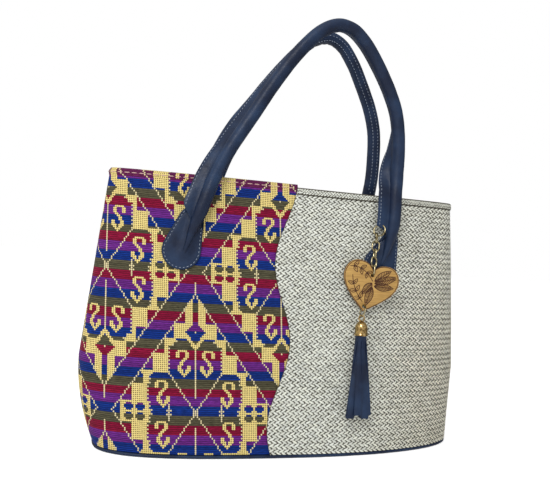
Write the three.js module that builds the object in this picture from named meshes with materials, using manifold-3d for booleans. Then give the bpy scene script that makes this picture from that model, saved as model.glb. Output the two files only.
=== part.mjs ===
// Woven bag: a cloth half and a straw half on a leather base, two rolled leather handles and a heart
// charm with a tassel. Millimetres, X to the right, the front towards -Y, Z up, the base at Z = 0.
import * as THREE from 'three';
import { mergeVertices } from 'three/addons/utils/BufferGeometryUtils.js';
import Module from 'manifold-3d';

const wasm = await Module();
wasm.setup();

// Clear space left between neighbouring pieces
const gap = 0.3;

// The bag's nominal outside: a rounded section that is fullest low down and narrows to the top edge. The
// stiffer straw keeps the right end squarer than the left one towards the top.
const body = {
  height: 250,
  fullestAt: 80,
  halfDepth: { base: 53.8, top: 25 },
  left: {
    halfWidth: { base: 171, fullest: 189.6, top: 174.3 },
    squareness: { base: 3.12, top: 2.26 },
  },
  right: {
    halfWidth: { base: 189, fullest: 187.5, top: 169.8 },
    squareness: { base: 2.1, top: 4.2 },
  },
};

// The two wall panels, as distances in and out from the nominal outside
const wall = {
  bottom: 3.3,
  strawInside: -1,
  strawOutside: 1,
  strawTop: 247,
  clothInside: -3.1,
  clothOutside: -1.3,
  clothTop: 251,
  hemDeep: 8.5,
  hemProud: 0.7,
  lap: 9,
  rowStep: 16,
  columns: 28,
};

// The line where straw meets cloth: a wave on the front, straight on the back
const seam = { middle: -10.5, swing: 9, wave: 150, crestAt: 102 };

const base = { thick: 2.6, pipingRadius: 1.5, pipingInset: -1, steps: 52 };

const handle = {
  tubeRadius: 6.4,
  endRadius: 2.2,
  taper: 45,
  lift: 1.3,
  flangeWide: 11,
  flangeHalfThick: 1.2,
  flangeStart: 34,
  flangeGrows: 8,
  flangeCut: 1,
  flangeLeast: 0.2,
  cutClear: 2.5,
  stations: 42,
  sides: 12,
  away: 31,
  awayAtPeak: 27,
};

// How the flange lies along a handle, counted from the leg where it points away from the other leg: the
// share of the handle's length, the turn in degrees from the outside of the arch to the bag's middle, and
// the share of the flange's width that stands off the tube
const frontFlange = [
  { share: 0, turn: 0, wide: 1 },
  { share: 0.07, turn: 0, wide: 1 },
  { share: 0.13, turn: 22, wide: 1 },
  { share: 0.2, turn: 45, wide: 1 },
  { share: 0.32, turn: 58, wide: 1 },
  { share: 0.4, turn: 78, wide: 1 },
  { share: 0.5, turn: 88, wide: 1 },
  { share: 0.74, turn: 84, wide: 1 },
  { share: 0.78, turn: 106, wide: 1 },
  { share: 0.82, turn: 142, wide: 1 },
  { share: 0.86, turn: 178, wide: 1 },
  { share: 1, turn: 180, wide: 1 },
];
// On the back handle it is pressed flat on the tube from the bag's edge to the peak
const backFlange = [
  { share: 0, turn: 0, wide: 1 },
  { share: 0.08, turn: 0, wide: 0.8 },
  { share: 0.12, turn: 10, wide: 0 },
  { share: 0.15, turn: 78, wide: 0 },
  { share: 0.6, turn: 90, wide: 0 },
  { share: 0.7, turn: 140, wide: 0.8 },
  { share: 0.85, turn: 180, wide: 1 },
  { share: 1, turn: 180, wide: 1 },
];

const patch = {
  radius: 17.5,
  neckRise: 29,
  thick: 2.2,
  bevel: 2,
  middleRise: 6,
  roundSteps: 14,
  neckSteps: 4,
};

// Where each leg of a handle runs on the wall, from the patch to the top edge
const leftLeg = [
  { x: -104, z: 180 },
  { x: -98.5, z: 199 },
  { x: -92.5, z: 217 },
  { x: -87, z: 234 },
  { x: -82, z: 249 },
];
const rightLeg = [
  { x: 96, z: 249 },
  { x: 96, z: 233 },
  { x: 94.8, z: 216 },
  { x: 91.5, z: 199 },
  { x: 86.5, z: 181 },
];
// The left patch has a broad neck that runs out under the flange
const leftPatch = { x: -106.5, z: 181.5, lean: 0.25, neckRadius: 11.5 };
const rightPatch = { x: 85.5, z: 179.5, lean: 0.37, neckRadius: 8 };

// The arch of each handle above the bag; both lean to the right as the soft leather has set
const frontArch = [
  { x: -70.5, z: 275 },
  { x: -50.7, z: 310 },
  { x: -30.2, z: 346 },
  { x: -9.5, z: 376.5 },
  { x: 10.5, z: 397.5 },
  { x: 26, z: 404.8 },
  { x: 40.5, z: 402.8 },
  { x: 53.5, z: 392.8 },
  { x: 69.6, z: 371.6 },
  { x: 83.5, z: 348.3 },
  { x: 92, z: 328 },
  { x: 96.5, z: 300 },
  { x: 97.2, z: 270 },
];
const backArch = [
  { x: -72, z: 277 },
  { x: -57.5, z: 306.5 },
  { x: -39, z: 333 },
  { x: -18, z: 363 },
  { x: 5, z: 391 },
  { x: 21, z: 404.5 },
  { x: 36, z: 408.5 },
  { x: 49, z: 403.5 },
  { x: 62, z: 389 },
  { x: 76, z: 365 },
  { x: 88, z: 340 },
  { x: 94.5, z: 318 },
  { x: 96.8, z: 292 },
  { x: 96.9, z: 268 },
];

// The charm: ring in the flange, five links, heart, jump ring, capped tassel
const ring = {
  radius: 5.6,
  wire: 0.8,
  hole: 2.7,
  holeAlong: 38,
  drillLong: 14,
  tilt: 0.85,
  fall: { x: -0.4, z: -0.917 },
};
const link = { bend: 3.4, wire: 0.85, sides: 6, clear: 0.25, turns: [0.6, 1.75, 0.1, 1.2, 0] };
const heart = { halfWide: 27.4, lobeRise: 8.2, tall: 38.7, thick: 3, lean: 0.19, turn: 0.12 };
const heartHoles = { top: 1.6, topDown: 3.5, tip: 1.9, tipUp: 5, linkForward: 0.95 };
const heartNotch = { x: 74, y: -45, z: 174.3 };
const jump = { radius: 5.9, wire: 0.7, swing: { x: -0.24, y: -0.34 } };
const cap = {
  radius: 6,
  height: 11,
  dome: 3,
  domeFrom: 4.4,
  rimProud: 0.4,
  rimTall: 1.4,
  shell: 0.7,
  loopRadius: 2.8,
  loopWire: 0.65,
  lean: 0.11,
};
const tassel = {
  strips: 7,
  wide: 7,
  thick: 1.6,
  length: 76,
  stagger: 3,
  headTall: 7,
  headBelow: 5,
  rootRadius: 3.6,
  rootDown: 0.6,
  spread: 9.3,
  deep: 3.6,
};

const finishes = {
  cloth: { color: 0x8a3f4e, roughness: 0.85, metalness: 0 },
  straw: { color: 0xb9b4a6, roughness: 0.9, metalness: 0 },
  leather: { color: 0x39435c, roughness: 0.55, metalness: 0 },
  wood: { color: 0xc99a52, roughness: 0.5, metalness: 0 },
  metal: { color: 0x9c8455, roughness: 0.35, metalness: 0.9 },
};

const { lerp, smoothstep, clamp, degToRad } = THREE.MathUtils;
const vec = (x, y, z) => new THREE.Vector3(x, y, z);

// A closed surface through loops of equal length. Each end is closed by a fan, by a strip that joins the
// two halves of a folded loop, or by the first loop itself when the surface runs back into its start.
function loft(loops, ends) {
  const count = loops[0].length;
  const points = loops.flat();
  const faces = [];
  const quad = (a, b, c, d) => faces.push(a, b, c, a, c, d);
  const spans = ends === 'ring' ? loops.length : loops.length - 1;
  for (let i = 0; i < spans; i += 1) {
    const here = i * count;
    const next = ((i + 1) % loops.length) * count;
    for (let j = 0; j < count; j += 1) {
      const k = (j + 1) % count;
      quad(here + j, here + k, next + k, next + j);
    }
  }
  const last = (loops.length - 1) * count;
  if (ends === 'strip') {
    for (let j = 0; j < count / 2 - 1; j += 1) {
      const far = count - 1 - j;
      quad(j, far, far - 1, j + 1);
      quad(last + j, last + j + 1, last + far - 1, last + far);
    }
  }
  if (Array.isArray(ends)) {
    points.push(...ends);
    const first = points.length - 2;
    for (let j = 0; j < count; j += 1) {
      const k = (j + 1) % count;
      faces.push(first, k, j);
      faces.push(first + 1, last + j, last + k);
    }
  }
  const geometry = new THREE.BufferGeometry();
  const places = points.flatMap((p) => [p.x, p.y, p.z]);
  geometry.setAttribute('position', new THREE.Float32BufferAttribute(places, 3));
  geometry.setIndex(faces);
  return facingOut(geometry);
}

// Turns the faces round when they point inwards
function facingOut(geometry) {
  const at = geometry.getAttribute('position');
  const index = geometry.getIndex().array;
  const corner = (i) => vec(at.getX(index[i]), at.getY(index[i]), at.getZ(index[i]));
  let volume = 0;
  for (let i = 0; i < index.length; i += 3) {
    volume += corner(i).dot(corner(i + 1).cross(corner(i + 2)));
  }
  if (volume < 0) {
    for (let i = 0; i < index.length; i += 3) {
      [index[i + 1], index[i + 2]] = [index[i + 2], index[i + 1]];
    }
  }
  return geometry;
}

function centreOf(loop) {
  return loop.reduce((sum, p) => sum.add(p), vec(0, 0, 0)).divideScalar(loop.length);
}

// A shape as a solid for joining and cutting, with the corners that share a place made one
function toSolid(geometry) {
  const bare = new THREE.BufferGeometry();
  bare.setAttribute('position', geometry.getAttribute('position'));
  bare.setIndex(geometry.getIndex());
  const merged = mergeVertices(bare, 1e-4);
  return new wasm.Manifold(
    new wasm.Mesh({
      numProp: 3,
      vertProperties: merged.getAttribute('position').array,
      triVerts: new Uint32Array(merged.getIndex().array),
    }),
  );
}

function toGeometry(solid) {
  const mesh = solid.getMesh();
  const geometry = new THREE.BufferGeometry();
  geometry.setAttribute('position', new THREE.Float32BufferAttribute(mesh.vertProperties, 3));
  geometry.setIndex(Array.from(mesh.triVerts));
  return geometry;
}

const join = (geometries) => geometries.map(toSolid).reduce((whole, next) => whole.add(next));

const endAt = (x) => (x < 0 ? body.left : body.right);

function sectionAt(z, end) {
  const up = z / body.height;
  const below = Math.max(0, 1 - z / body.fullestAt);
  const above = Math.max(0, (z - body.fullestAt) / (body.height - body.fullestAt));
  const { base: foot, fullest, top } = end.halfWidth;
  return {
    halfWidth: fullest - (fullest - foot) * below ** 2 - (fullest - top) * above,
    halfDepth: lerp(body.halfDepth.base, body.halfDepth.top, up),
    squareness: lerp(end.squareness.base, end.squareness.top, up),
  };
}

// A point of the wall at an angle round the bag, counted from the right-hand end towards the back
function wallPoint(angle, z, out) {
  const along = Math.cos(angle);
  const across = Math.sin(angle);
  const { halfWidth, halfDepth, squareness } = sectionAt(z, endAt(along));
  const power = 2 / squareness;
  const x = (halfWidth + out) * Math.sign(along) * Math.abs(along) ** power;
  const y = (halfDepth + out) * Math.sign(across) * Math.abs(across) ** power;
  return vec(x, y, z);
}

// The point of the front (side -1) or back (side 1) wall at a given X and Z
function facePoint(x, z, side, out) {
  const { halfWidth, halfDepth, squareness } = sectionAt(z, endAt(x));
  const share = Math.abs(x) / (halfWidth + out);
  return vec(x, side * (halfDepth + out) * (1 - share ** squareness) ** (1 / squareness), z);
}

function faceAngle(x, z, side) {
  const { halfWidth, squareness } = sectionAt(z, endAt(x));
  const share = x / halfWidth;
  const angle = Math.acos(Math.sign(share) * Math.abs(share) ** (squareness / 2));
  return side * angle;
}

// Angles between two others that divide the wall into pieces of equal length
function evenAngles(z, from, to, pieces) {
  const fine = 400;
  const angles = [from];
  const lengths = [0];
  for (let i = 1; i <= fine; i += 1) {
    const angle = lerp(from, to, i / fine);
    const step = wallPoint(angle, z, 0).distanceTo(wallPoint(angles[i - 1], z, 0));
    angles.push(angle);
    lengths.push(lengths[i - 1] + step);
  }
  const even = [];
  let i = 0;
  for (let j = 0; j <= pieces; j += 1) {
    const target = (lengths[fine] * j) / pieces;
    while (i < fine - 1 && lengths[i + 1] < target) i += 1;
    const share = (target - lengths[i]) / (lengths[i + 1] - lengths[i]);
    even.push(lerp(angles[i], angles[i + 1], share));
  }
  return even;
}

const frontSeamX = (z) => seam.middle + seam.swing * Math.cos((2 * Math.PI * (z - seam.crestAt)) / seam.wave);

// Heights of a panel's rows, with a close pair where the hem's fold starts
function rowHeights(top) {
  const foldAt = top - wall.hemDeep;
  const rows = Math.round((foldAt - wall.bottom) / wall.rowStep);
  const heights = [];
  for (let i = 0; i <= rows; i += 1) heights.push(lerp(wall.bottom, foldAt, i / rows));
  return [...heights, foldAt + 1, top];
}

// One half of the wall, from a front angle round one end of the bag to a back angle
function wallPanel(top, facesAt, anglesAt) {
  const loops = rowHeights(top).map((z) => {
    const { from, to } = anglesAt(z);
    const angles = evenAngles(z, from, to, wall.columns);
    const { inside, outside } = facesAt(z > top - wall.hemDeep + 0.5 ? wall.hemProud : 0);
    const outer = angles.map((angle) => wallPoint(angle, z, outside));
    const inner = angles.map((angle) => wallPoint(angle, z, inside));
    return [...outer, ...inner.reverse()];
  });
  return loft(loops, 'strip');
}

// The straw's hem is folded to the outside
function strawPanel() {
  const facesAt = (hem) => ({ inside: wall.strawInside, outside: wall.strawOutside + hem });
  const anglesAt = (z) => ({
    from: faceAngle(frontSeamX(z), z, -1),
    to: faceAngle(seam.middle, z, 1),
  });
  return wallPanel(wall.strawTop, facesAt, anglesAt);
}

// The cloth's hem is folded to the inside, and its side edges run on under the straw
function clothPanel() {
  const facesAt = (hem) => ({ inside: wall.clothInside - hem, outside: wall.clothOutside });
  const anglesAt = (z) => ({
    from: 2 * Math.PI + faceAngle(frontSeamX(z) + wall.lap, z, -1),
    to: faceAngle(seam.middle + wall.lap, z, 1),
  });
  return wallPanel(wall.clothTop, facesAt, anglesAt);
}

// The piping's centre line round the base, with the outward direction at each point
function pipingPath() {
  const angles = evenAngles(0, 0, 2 * Math.PI, base.steps).slice(0, -1);
  const path = angles.map((angle) => wallPoint(angle, 0, base.pipingInset));
  return path.map((point, i) => {
    const ahead = path[(i + 1) % path.length].clone().sub(path.at(i - 1)).normalize();
    return { point, outward: vec(ahead.y, -ahead.x, 0) };
  });
}

function basePanel() {
  const inward = -(base.pipingRadius + gap);
  const edge = pipingPath().map(({ point, outward }) => point.addScaledVector(outward, inward));
  const upper = edge.map((p) => vec(p.x, p.y, base.thick));
  return loft([edge, upper], [vec(0, 0, 0), vec(0, 0, base.thick)]);
}

// A round cord under the wall's lower edge, all the way round the base
function basePiping() {
  const sides = 8;
  const loops = pipingPath().map(({ point, outward }) => {
    const loop = [];
    for (let j = 0; j < sides; j += 1) {
      const turn = (2 * Math.PI * j) / sides;
      const reach = base.pipingRadius * Math.cos(turn);
      const rise = base.pipingRadius * (1 + Math.sin(turn));
      loop.push(vec(point.x + outward.x * reach, point.y + outward.y * reach, rise));
    }
    return loop;
  });
  return loft(loops, 'ring');
}

const tubeRadiusAt = (distance) =>
  lerp(handle.endRadius, handle.tubeRadius, smoothstep(distance, 0, handle.taper));

// A leg's centre line: the tube rides on the wall's outside and clears the hem at the top
function legPoints(leg, side, wallOut) {
  const foot = leg.reduce((low, p) => (p.z < low.z ? p : low));
  return leg.map((p) => {
    const distance = Math.hypot(p.x - foot.x, p.z - foot.z);
    const lift = handle.lift * clamp(distance / handle.taper, 0, 1);
    return facePoint(p.x, p.z, side, wallOut + gap + lift + tubeRadiusAt(distance));
  });
}

function handleCurve(side, arch) {
  const peak = Math.max(...arch.map((p) => p.z));
  const over = arch.map((p) => {
    const share = (p.z - body.height) / (peak - body.height);
    return vec(p.x, side * lerp(handle.away, handle.awayAtPeak, share), p.z);
  });
  const points = [
    ...legPoints(leftLeg, side, wall.clothOutside),
    ...over,
    ...legPoints(rightLeg, side, wall.strawOutside),
  ];
  return new THREE.CatmullRomCurve3(points, false, 'centripetal');
}

// A handle's curve, side and length, with the rows that say how its flange lies
function handleWay(side, arch, flangeRows) {
  const curve = handleCurve(side, arch);
  return { curve, side, flangeRows, length: curve.getLength() };
}

// The turn and the width of the flange at a share of the way from its start
function flangeAt(rows, share) {
  const next = rows.findIndex((row) => row.share >= share);
  const high = rows[Math.max(1, next)];
  const low = rows[Math.max(1, next) - 1];
  const part = (share - low.share) / (high.share - low.share);
  return { turn: lerp(low.turn, high.turn, part), wide: lerp(low.wide, high.wide, part) };
}

// The back handle is the front one turned round, so that its flange starts from the right
function flangeFrame(way, distance) {
  const { curve, side, flangeRows, length } = way;
  const fromStart = side < 0 ? distance : length - distance;
  const row = flangeAt(flangeRows, fromStart / length);
  const ahead = curve.getTangentAt(distance / length);
  const outward = vec(-ahead.z, 0, ahead.x).normalize();
  const inward = vec(0, -side, 0);
  const turn = degToRad(row.turn);
  const flange = outward.multiplyScalar(Math.cos(turn)).addScaledVector(inward, Math.sin(turn));
  flange.addScaledVector(ahead, -flange.dot(ahead)).normalize();
  const { flangeStart, flangeGrows, flangeCut, flangeLeast, flangeWide } = handle;
  const grown = smoothstep(fromStart, flangeStart - flangeGrows, flangeStart + flangeGrows);
  const kept = smoothstep(length - fromStart, flangeStart - flangeCut, flangeStart + flangeCut);
  const wide = Math.max(flangeLeast, flangeWide * row.wide * Math.min(grown, kept));
  return { flange, across: ahead.clone().cross(flange), wide };
}

// Places along the handle, with a close pair round the cut end of the flange
function handleStations(way) {
  const { length, side } = way;
  const even = [];
  for (let i = 0; i <= handle.stations; i += 1) even.push((length * i) / handle.stations);
  const cut = side < 0 ? length - handle.flangeStart : handle.flangeStart;
  const pair = [cut - handle.flangeCut, cut + handle.flangeCut];
  const clearOfCut = even.filter((d) => Math.abs(d - cut) > handle.cutClear);
  return [...clearOfCut, ...pair].sort((a, b) => a - b);
}

function rolledTube(way) {
  const { curve, length } = way;
  const centres = [];
  const loops = handleStations(way).map((d) => {
    const centre = curve.getPointAt(d / length);
    const { flange, across, wide } = flangeFrame(way, d);
    const radius = tubeRadiusAt(Math.min(d, length - d));
    const half = Math.min(handle.flangeHalfThick, radius * 0.5);
    const open = Math.asin(half / radius);
    const spot = (u, v) => centre.clone().addScaledVector(flange, u).addScaledVector(across, v);
    const loop = [];
    for (let j = 0; j <= handle.sides; j += 1) {
      const turn = lerp(open, 2 * Math.PI - open, j / handle.sides);
      loop.push(spot(radius * Math.cos(turn), radius * Math.sin(turn)));
    }
    const tip = radius * Math.cos(open) + wide;
    loop.push(spot(tip, -half), spot(tip, half));
    centres.push(centre);
    return loop;
  });
  return loft(loops, [centres[0], centres.at(-1)]);
}

// A drop-shaped patch that lies on the wall: a round with a narrower neck up along the tube
function handlePatch(spot, side, wallOut) {
  const { radius, neckRise, thick, bevel, middleRise, roundSteps, neckSteps } = patch;
  const { lean, neckRadius } = spot;
  const meet = Math.acos((radius - neckRadius) / neckRise);
  const outline = (shrink) => {
    const points = [];
    for (let i = 0; i <= roundSteps; i += 1) {
      const turn = lerp(meet, 2 * Math.PI - meet, i / roundSteps);
      points.push([(radius - shrink) * Math.sin(turn), (radius - shrink) * Math.cos(turn)]);
    }
    for (let i = 0; i <= neckSteps; i += 1) {
      const turn = lerp(-meet, meet, i / neckSteps);
      const reach = neckRadius - shrink;
      points.push([reach * Math.sin(turn), neckRise + reach * Math.cos(turn)]);
    }
    return points;
  };
  const place = ([u, v], out) => {
    const x = spot.x + u * Math.cos(lean) + v * Math.sin(lean);
    const z = spot.z - u * Math.sin(lean) + v * Math.cos(lean);
    return facePoint(x, z, side, wallOut + out);
  };
  const lower = outline(0).map((p) => place(p, gap));
  const edge = outline(0).map((p) => place(p, gap + thick * 0.6));
  const upper = outline(bevel).map((p) => place(p, gap + thick));
  const middle = [0, middleRise];
  return loft([lower, edge, upper], [place(middle, gap), place(middle, gap + thick)]);
}

function handleSolid(way) {
  return join([
    rolledTube(way),
    handlePatch(leftPatch, way.side, wall.clothOutside),
    handlePatch(rightPatch, way.side, wall.strawOutside),
  ]);
}

// The middle of the flange near its cut end, where the charm's ring goes through
function ringHolePoint(way) {
  const distance = way.length - ring.holeAlong;
  const { flange } = flangeFrame(way, distance);
  const reach = tubeRadiusAt(ring.holeAlong) + handle.flangeWide * 0.5;
  return way.curve.getPointAt(distance / way.length).addScaledVector(flange, reach);
}

function frontHandle(way, holePoint) {
  const drill = new THREE.CylinderGeometry(ring.hole, ring.hole, ring.drillLong, 12);
  drill.translate(holePoint.x, holePoint.y, holePoint.z);
  return toGeometry(handleSolid(way).subtract(toSolid(drill)));
}

// A round wire ring in the local XY plane
const wireRing = (radius, wire, steps) => new THREE.TorusGeometry(radius, wire, link.sides, steps);

// A long oval of wire in the local XY plane, its length along X
function wireOval(bend, straight, wire) {
  const steps = 12;
  const path = [];
  for (let j = 0; j < steps; j += 1) {
    const turn = (2 * Math.PI * (j + 0.5)) / steps;
    const shift = Math.sign(Math.cos(turn)) * (straight / 2);
    path.push(vec(bend * Math.cos(turn) + shift, bend * Math.sin(turn), 0));
  }
  const normal = vec(0, 0, 1);
  const loops = path.map((p, i) => {
    const ahead = path[(i + 1) % steps].clone().sub(path.at(i - 1)).normalize();
    const outward = ahead.cross(normal);
    const loop = [];
    for (let j = 0; j < link.sides; j += 1) {
      const turn = (2 * Math.PI * (j + 0.5)) / link.sides;
      const rim = p.clone().addScaledVector(outward, wire * Math.cos(turn));
      loop.push(rim.addScaledVector(normal, wire * Math.sin(turn)));
    }
    return loop;
  });
  return loft(loops, 'ring');
}

// Puts a mesh at a place, with its local X along one direction and its local Z near another
function put(mesh, place, along, normal) {
  const third = normal.clone().cross(along).normalize();
  const square = along.clone().cross(third);
  mesh.position.copy(place);
  mesh.quaternion.setFromRotationMatrix(new THREE.Matrix4().makeBasis(along, third, square));
  return mesh;
}

// The ring hangs down and to the left from the flange's hole, turned part way towards the viewer
function charmRing(holePoint) {
  const fall = vec(ring.fall.x, 0, ring.fall.z).normalize();
  const flat = vec(0, 1, 0);
  const side = fall.clone().cross(flat);
  const normal = flat.multiplyScalar(Math.cos(ring.tilt)).addScaledVector(side, Math.sin(ring.tilt));
  const mesh = named('charm_ring', wireRing(ring.radius, ring.wire, 16), finishes.metal);
  put(mesh, holePoint.clone().addScaledVector(fall, ring.radius), fall, normal);
  return { mesh, bottom: holePoint.clone().addScaledVector(fall, ring.radius * 2) };
}

// Links on a straight line from the ring down to the heart's hole, each turned against the last
function chainLinks(from, to) {
  const down = to.clone().sub(from).normalize();
  const hook = 2 * link.wire + link.clear;
  const step = from.distanceTo(to) / link.turns.length;
  const geometry = wireOval(link.bend, step + hook - 2 * link.bend, link.wire);
  return link.turns.map((turn, i) => {
    const normal = vec(Math.cos(turn), -Math.sin(turn), 0);
    const centre = from.clone().addScaledVector(down, step * (i + 0.5) - hook / 2);
    return put(named(`chain_link_${i + 1}`, geometry, finishes.metal), centre, down, normal);
  });
}

// The heart is drawn with its notch at the origin and its tip down
function heartOutline() {
  const { halfWide, lobeRise, tall } = heart;
  const shape = new THREE.Shape();
  shape.moveTo(0, 0);
  shape.bezierCurveTo(2.5, 6, 8, lobeRise, 13.8, lobeRise);
  shape.bezierCurveTo(22, lobeRise, halfWide, 2, halfWide, -6.3);
  shape.bezierCurveTo(halfWide, -18, 14, -28, 0, -tall);
  shape.bezierCurveTo(-14, -28, -halfWide, -18, -halfWide, -6.3);
  shape.bezierCurveTo(-halfWide, 2, -22, lobeRise, -13.8, lobeRise);
  shape.bezierCurveTo(-8, lobeRise, -2.5, 6, 0, 0);
  return shape;
}

function roundHole(y, radius) {
  const points = [];
  for (let i = 0; i < 12; i += 1) {
    const turn = (2 * Math.PI * i) / 12;
    points.push(new THREE.Vector2(radius * Math.cos(turn), y + radius * Math.sin(turn)));
  }
  return new THREE.Path(points);
}

// The heart stands on edge, leans with its tip to the left and lies turned on the handle's patch
function heartCharm() {
  const shape = heartOutline();
  const topAt = -heartHoles.topDown;
  const tipAt = heartHoles.tipUp - heart.tall;
  shape.holes.push(roundHole(topAt, heartHoles.top), roundHole(tipAt, heartHoles.tip));
  const slab = { depth: heart.thick, bevelEnabled: false, curveSegments: 9 };
  const geometry = new THREE.ExtrudeGeometry(shape, slab);
  geometry.translate(0, 0, -heart.thick / 2);
  geometry.rotateX(Math.PI / 2);
  const mesh = named('heart_charm', geometry, finishes.wood);
  mesh.position.set(heartNotch.x, heartNotch.y, heartNotch.z);
  mesh.rotation.set(0, heart.lean, -heart.turn, 'ZYX');
  mesh.updateMatrix();
  return {
    mesh,
    topHole: vec(0, 0, topAt).applyMatrix4(mesh.matrix),
    tipHole: vec(0, 0, tipAt).applyMatrix4(mesh.matrix),
  };
}

// From the heart's tip the jump ring swings forward a little, as the tassel lies on the sloping wall
function jumpRing(tipHole) {
  const wireAt = tipHole.clone().add(vec(0, 0, heartHoles.tip - jump.wire - gap));
  const swing = vec(jump.swing.x, jump.swing.y, -1).normalize();
  const mesh = named('jump_ring', wireRing(jump.radius, jump.wire, 14), finishes.metal);
  put(mesh, wireAt.clone().addScaledVector(swing, jump.radius), swing, vec(1, 0, 0));
  return { mesh, lowest: wireAt.clone().addScaledVector(swing, jump.radius * 2) };
}

// A round dome over a straight wall with a rim, closed inside above the tassel's head
function tasselCap() {
  const { radius, height, dome, domeFrom, rimProud, rimTall, shell, loopRadius, loopWire } = cap;
  const inner = radius - shell;
  const domeSteps = 6;
  const profile = [
    [0, tassel.headTall - height],
    [inner, tassel.headTall - height],
    [inner, -height],
    [radius + rimProud, -height],
    [radius + rimProud, rimTall - height],
    [radius, rimTall + rimProud - height],
  ];
  for (let i = 0; i <= domeSteps; i += 1) {
    const turn = (Math.PI * i) / (2 * domeSteps);
    const up = (dome + domeFrom) * Math.sin(turn) - domeFrom;
    profile.push([i < domeSteps ? radius * Math.cos(turn) : 0, up]);
  }
  const shellShape = new THREE.LatheGeometry(profile.map(([r, h]) => new THREE.Vector2(r, h)), 16);
  const loop = wireRing(loopRadius, loopWire, 12);
  loop.translate(0, dome + loopRadius - loopWire * 0.6, 0);
  const whole = toGeometry(join([shellShape, loop]));
  whole.rotateX(Math.PI / 2);
  return whole;
}

// One leather strip from under the cap down, spreading from a round bunch to a flatter fan
function tasselStrip(turn, reachX, reachY, length) {
  const { wide, thick, rootRadius, rootDown } = tassel;
  const loops = [];
  const steps = 4;
  for (let i = 0; i <= steps; i += 1) {
    const share = i / steps;
    const bend = share ** 1.3;
    const middle = vec(
      lerp(rootRadius * Math.cos(turn), reachX, bend),
      lerp(rootRadius * Math.sin(turn), reachY, bend),
      lerp(-rootDown, -length, share),
    );
    const face = lerp(turn, Math.sign(Math.sin(turn)) * (Math.PI / 2), share);
    const along = vec(-Math.sin(face), Math.cos(face), 0).multiplyScalar(wide / 2);
    const through = vec(Math.cos(face), Math.sin(face), 0).multiplyScalar(thick / 2);
    loops.push([
      middle.clone().add(along).add(through),
      middle.clone().sub(along).add(through),
      middle.clone().sub(along).sub(through),
      middle.clone().add(along).sub(through),
    ]);
  }
  return loft(loops, [centreOf(loops[0]), centreOf(loops.at(-1))]);
}

// The strips and the head that they are rolled on, with the cap's rim at Z = 0
function tasselBunch() {
  const { strips, length, stagger, headTall, headBelow, spread, deep } = tassel;
  const radius = cap.radius - cap.shell - gap;
  const tall = headTall + headBelow;
  const head = new THREE.CylinderGeometry(radius, radius - 0.4, tall, 14);
  head.rotateX(Math.PI / 2);
  head.translate(0, 0, headTall - gap - tall / 2);
  const pieces = [head];
  for (let i = 0; i < strips; i += 1) {
    const turn = Math.PI * (-1 + (2 * i + 1) / strips);
    const shorter = stagger * (i % 2);
    pieces.push(tasselStrip(turn, spread * Math.cos(turn), deep * Math.sin(turn), length - shorter));
  }
  return toGeometry(join(pieces));
}

function named(name, geometry, finish) {
  const mesh = new THREE.Mesh(geometry, new THREE.MeshStandardMaterial(finish));
  mesh.name = name;
  return mesh;
}

function bagBody() {
  const group = new THREE.Group();
  group.add(named('textile_panel', clothPanel(), finishes.cloth));
  group.add(named('straw_panel', strawPanel(), finishes.straw));
  group.add(named('base_panel', basePanel(), finishes.leather));
  group.add(named('base_piping', basePiping(), finishes.leather));
  return group;
}

// The cap hangs by its loop from the jump ring and carries the tassel's head
function hungTassel(from) {
  const group = new THREE.Group();
  const loopTop = cap.dome + cap.loopRadius * 2 - cap.loopWire * 0.6;
  const lean = vec(0, -Math.sin(cap.lean), -Math.cos(cap.lean));
  group.position.copy(from).addScaledVector(lean, loopTop - jump.wire - cap.loopWire - gap);
  group.rotation.x = -cap.lean;
  const bunch = named('tassel', tasselBunch(), finishes.leather);
  bunch.position.z = -cap.height;
  group.add(named('tassel_cap', tasselCap(), finishes.metal), bunch);
  return group;
}

function charm(holePoint) {
  const group = new THREE.Group();
  const hanger = charmRing(holePoint);
  const wood = heartCharm();
  const connector = jumpRing(wood.tipHole);
  const chainTop = hanger.bottom.clone().add(vec(0, 0, gap));
  const linkDown = heartHoles.top - link.wire - 2 * gap;
  const chainEnd = wood.topHole.clone().add(vec(0, -heartHoles.linkForward, linkDown));
  group.add(hanger.mesh, ...chainLinks(chainTop, chainEnd), wood.mesh, connector.mesh);
  group.add(hungTassel(connector.lowest));
  return group;
}

function wovenBag() {
  const front = handleWay(-1, frontArch, frontFlange);
  const back = handleWay(1, backArch, backFlange);
  const holePoint = ringHolePoint(front);
  const bag = new THREE.Group();
  bag.add(bagBody());
  bag.add(named('front_handle', frontHandle(front, holePoint), finishes.leather));
  bag.add(named('back_handle', toGeometry(handleSolid(back)), finishes.leather));
  bag.add(charm(holePoint));
  return bag;
}

export default wovenBag();
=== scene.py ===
import math

import bpy
import numpy as np
from mathutils import Matrix, Vector


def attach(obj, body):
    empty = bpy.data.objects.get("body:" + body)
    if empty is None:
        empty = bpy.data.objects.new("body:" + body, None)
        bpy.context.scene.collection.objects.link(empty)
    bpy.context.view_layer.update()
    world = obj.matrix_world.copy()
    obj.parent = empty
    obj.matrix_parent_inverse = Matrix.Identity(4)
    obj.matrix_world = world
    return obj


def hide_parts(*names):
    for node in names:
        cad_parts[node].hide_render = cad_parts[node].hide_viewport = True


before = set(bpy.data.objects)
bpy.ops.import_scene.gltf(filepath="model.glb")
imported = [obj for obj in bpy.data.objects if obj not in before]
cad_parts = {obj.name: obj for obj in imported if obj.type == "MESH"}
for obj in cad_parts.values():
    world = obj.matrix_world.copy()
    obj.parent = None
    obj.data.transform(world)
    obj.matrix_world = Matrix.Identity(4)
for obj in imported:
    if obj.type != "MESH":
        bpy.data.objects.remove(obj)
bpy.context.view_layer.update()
mm = 0.001
pi = math.pi
dice = np.random.RandomState(7)
print("stage: frame loaded")

# Shared small tools

sliver = 0.001  # edges shorter than this are dropped, in millimetres


def clearSelection():
    bpy.ops.object.select_all(action="DESELECT")


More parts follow.
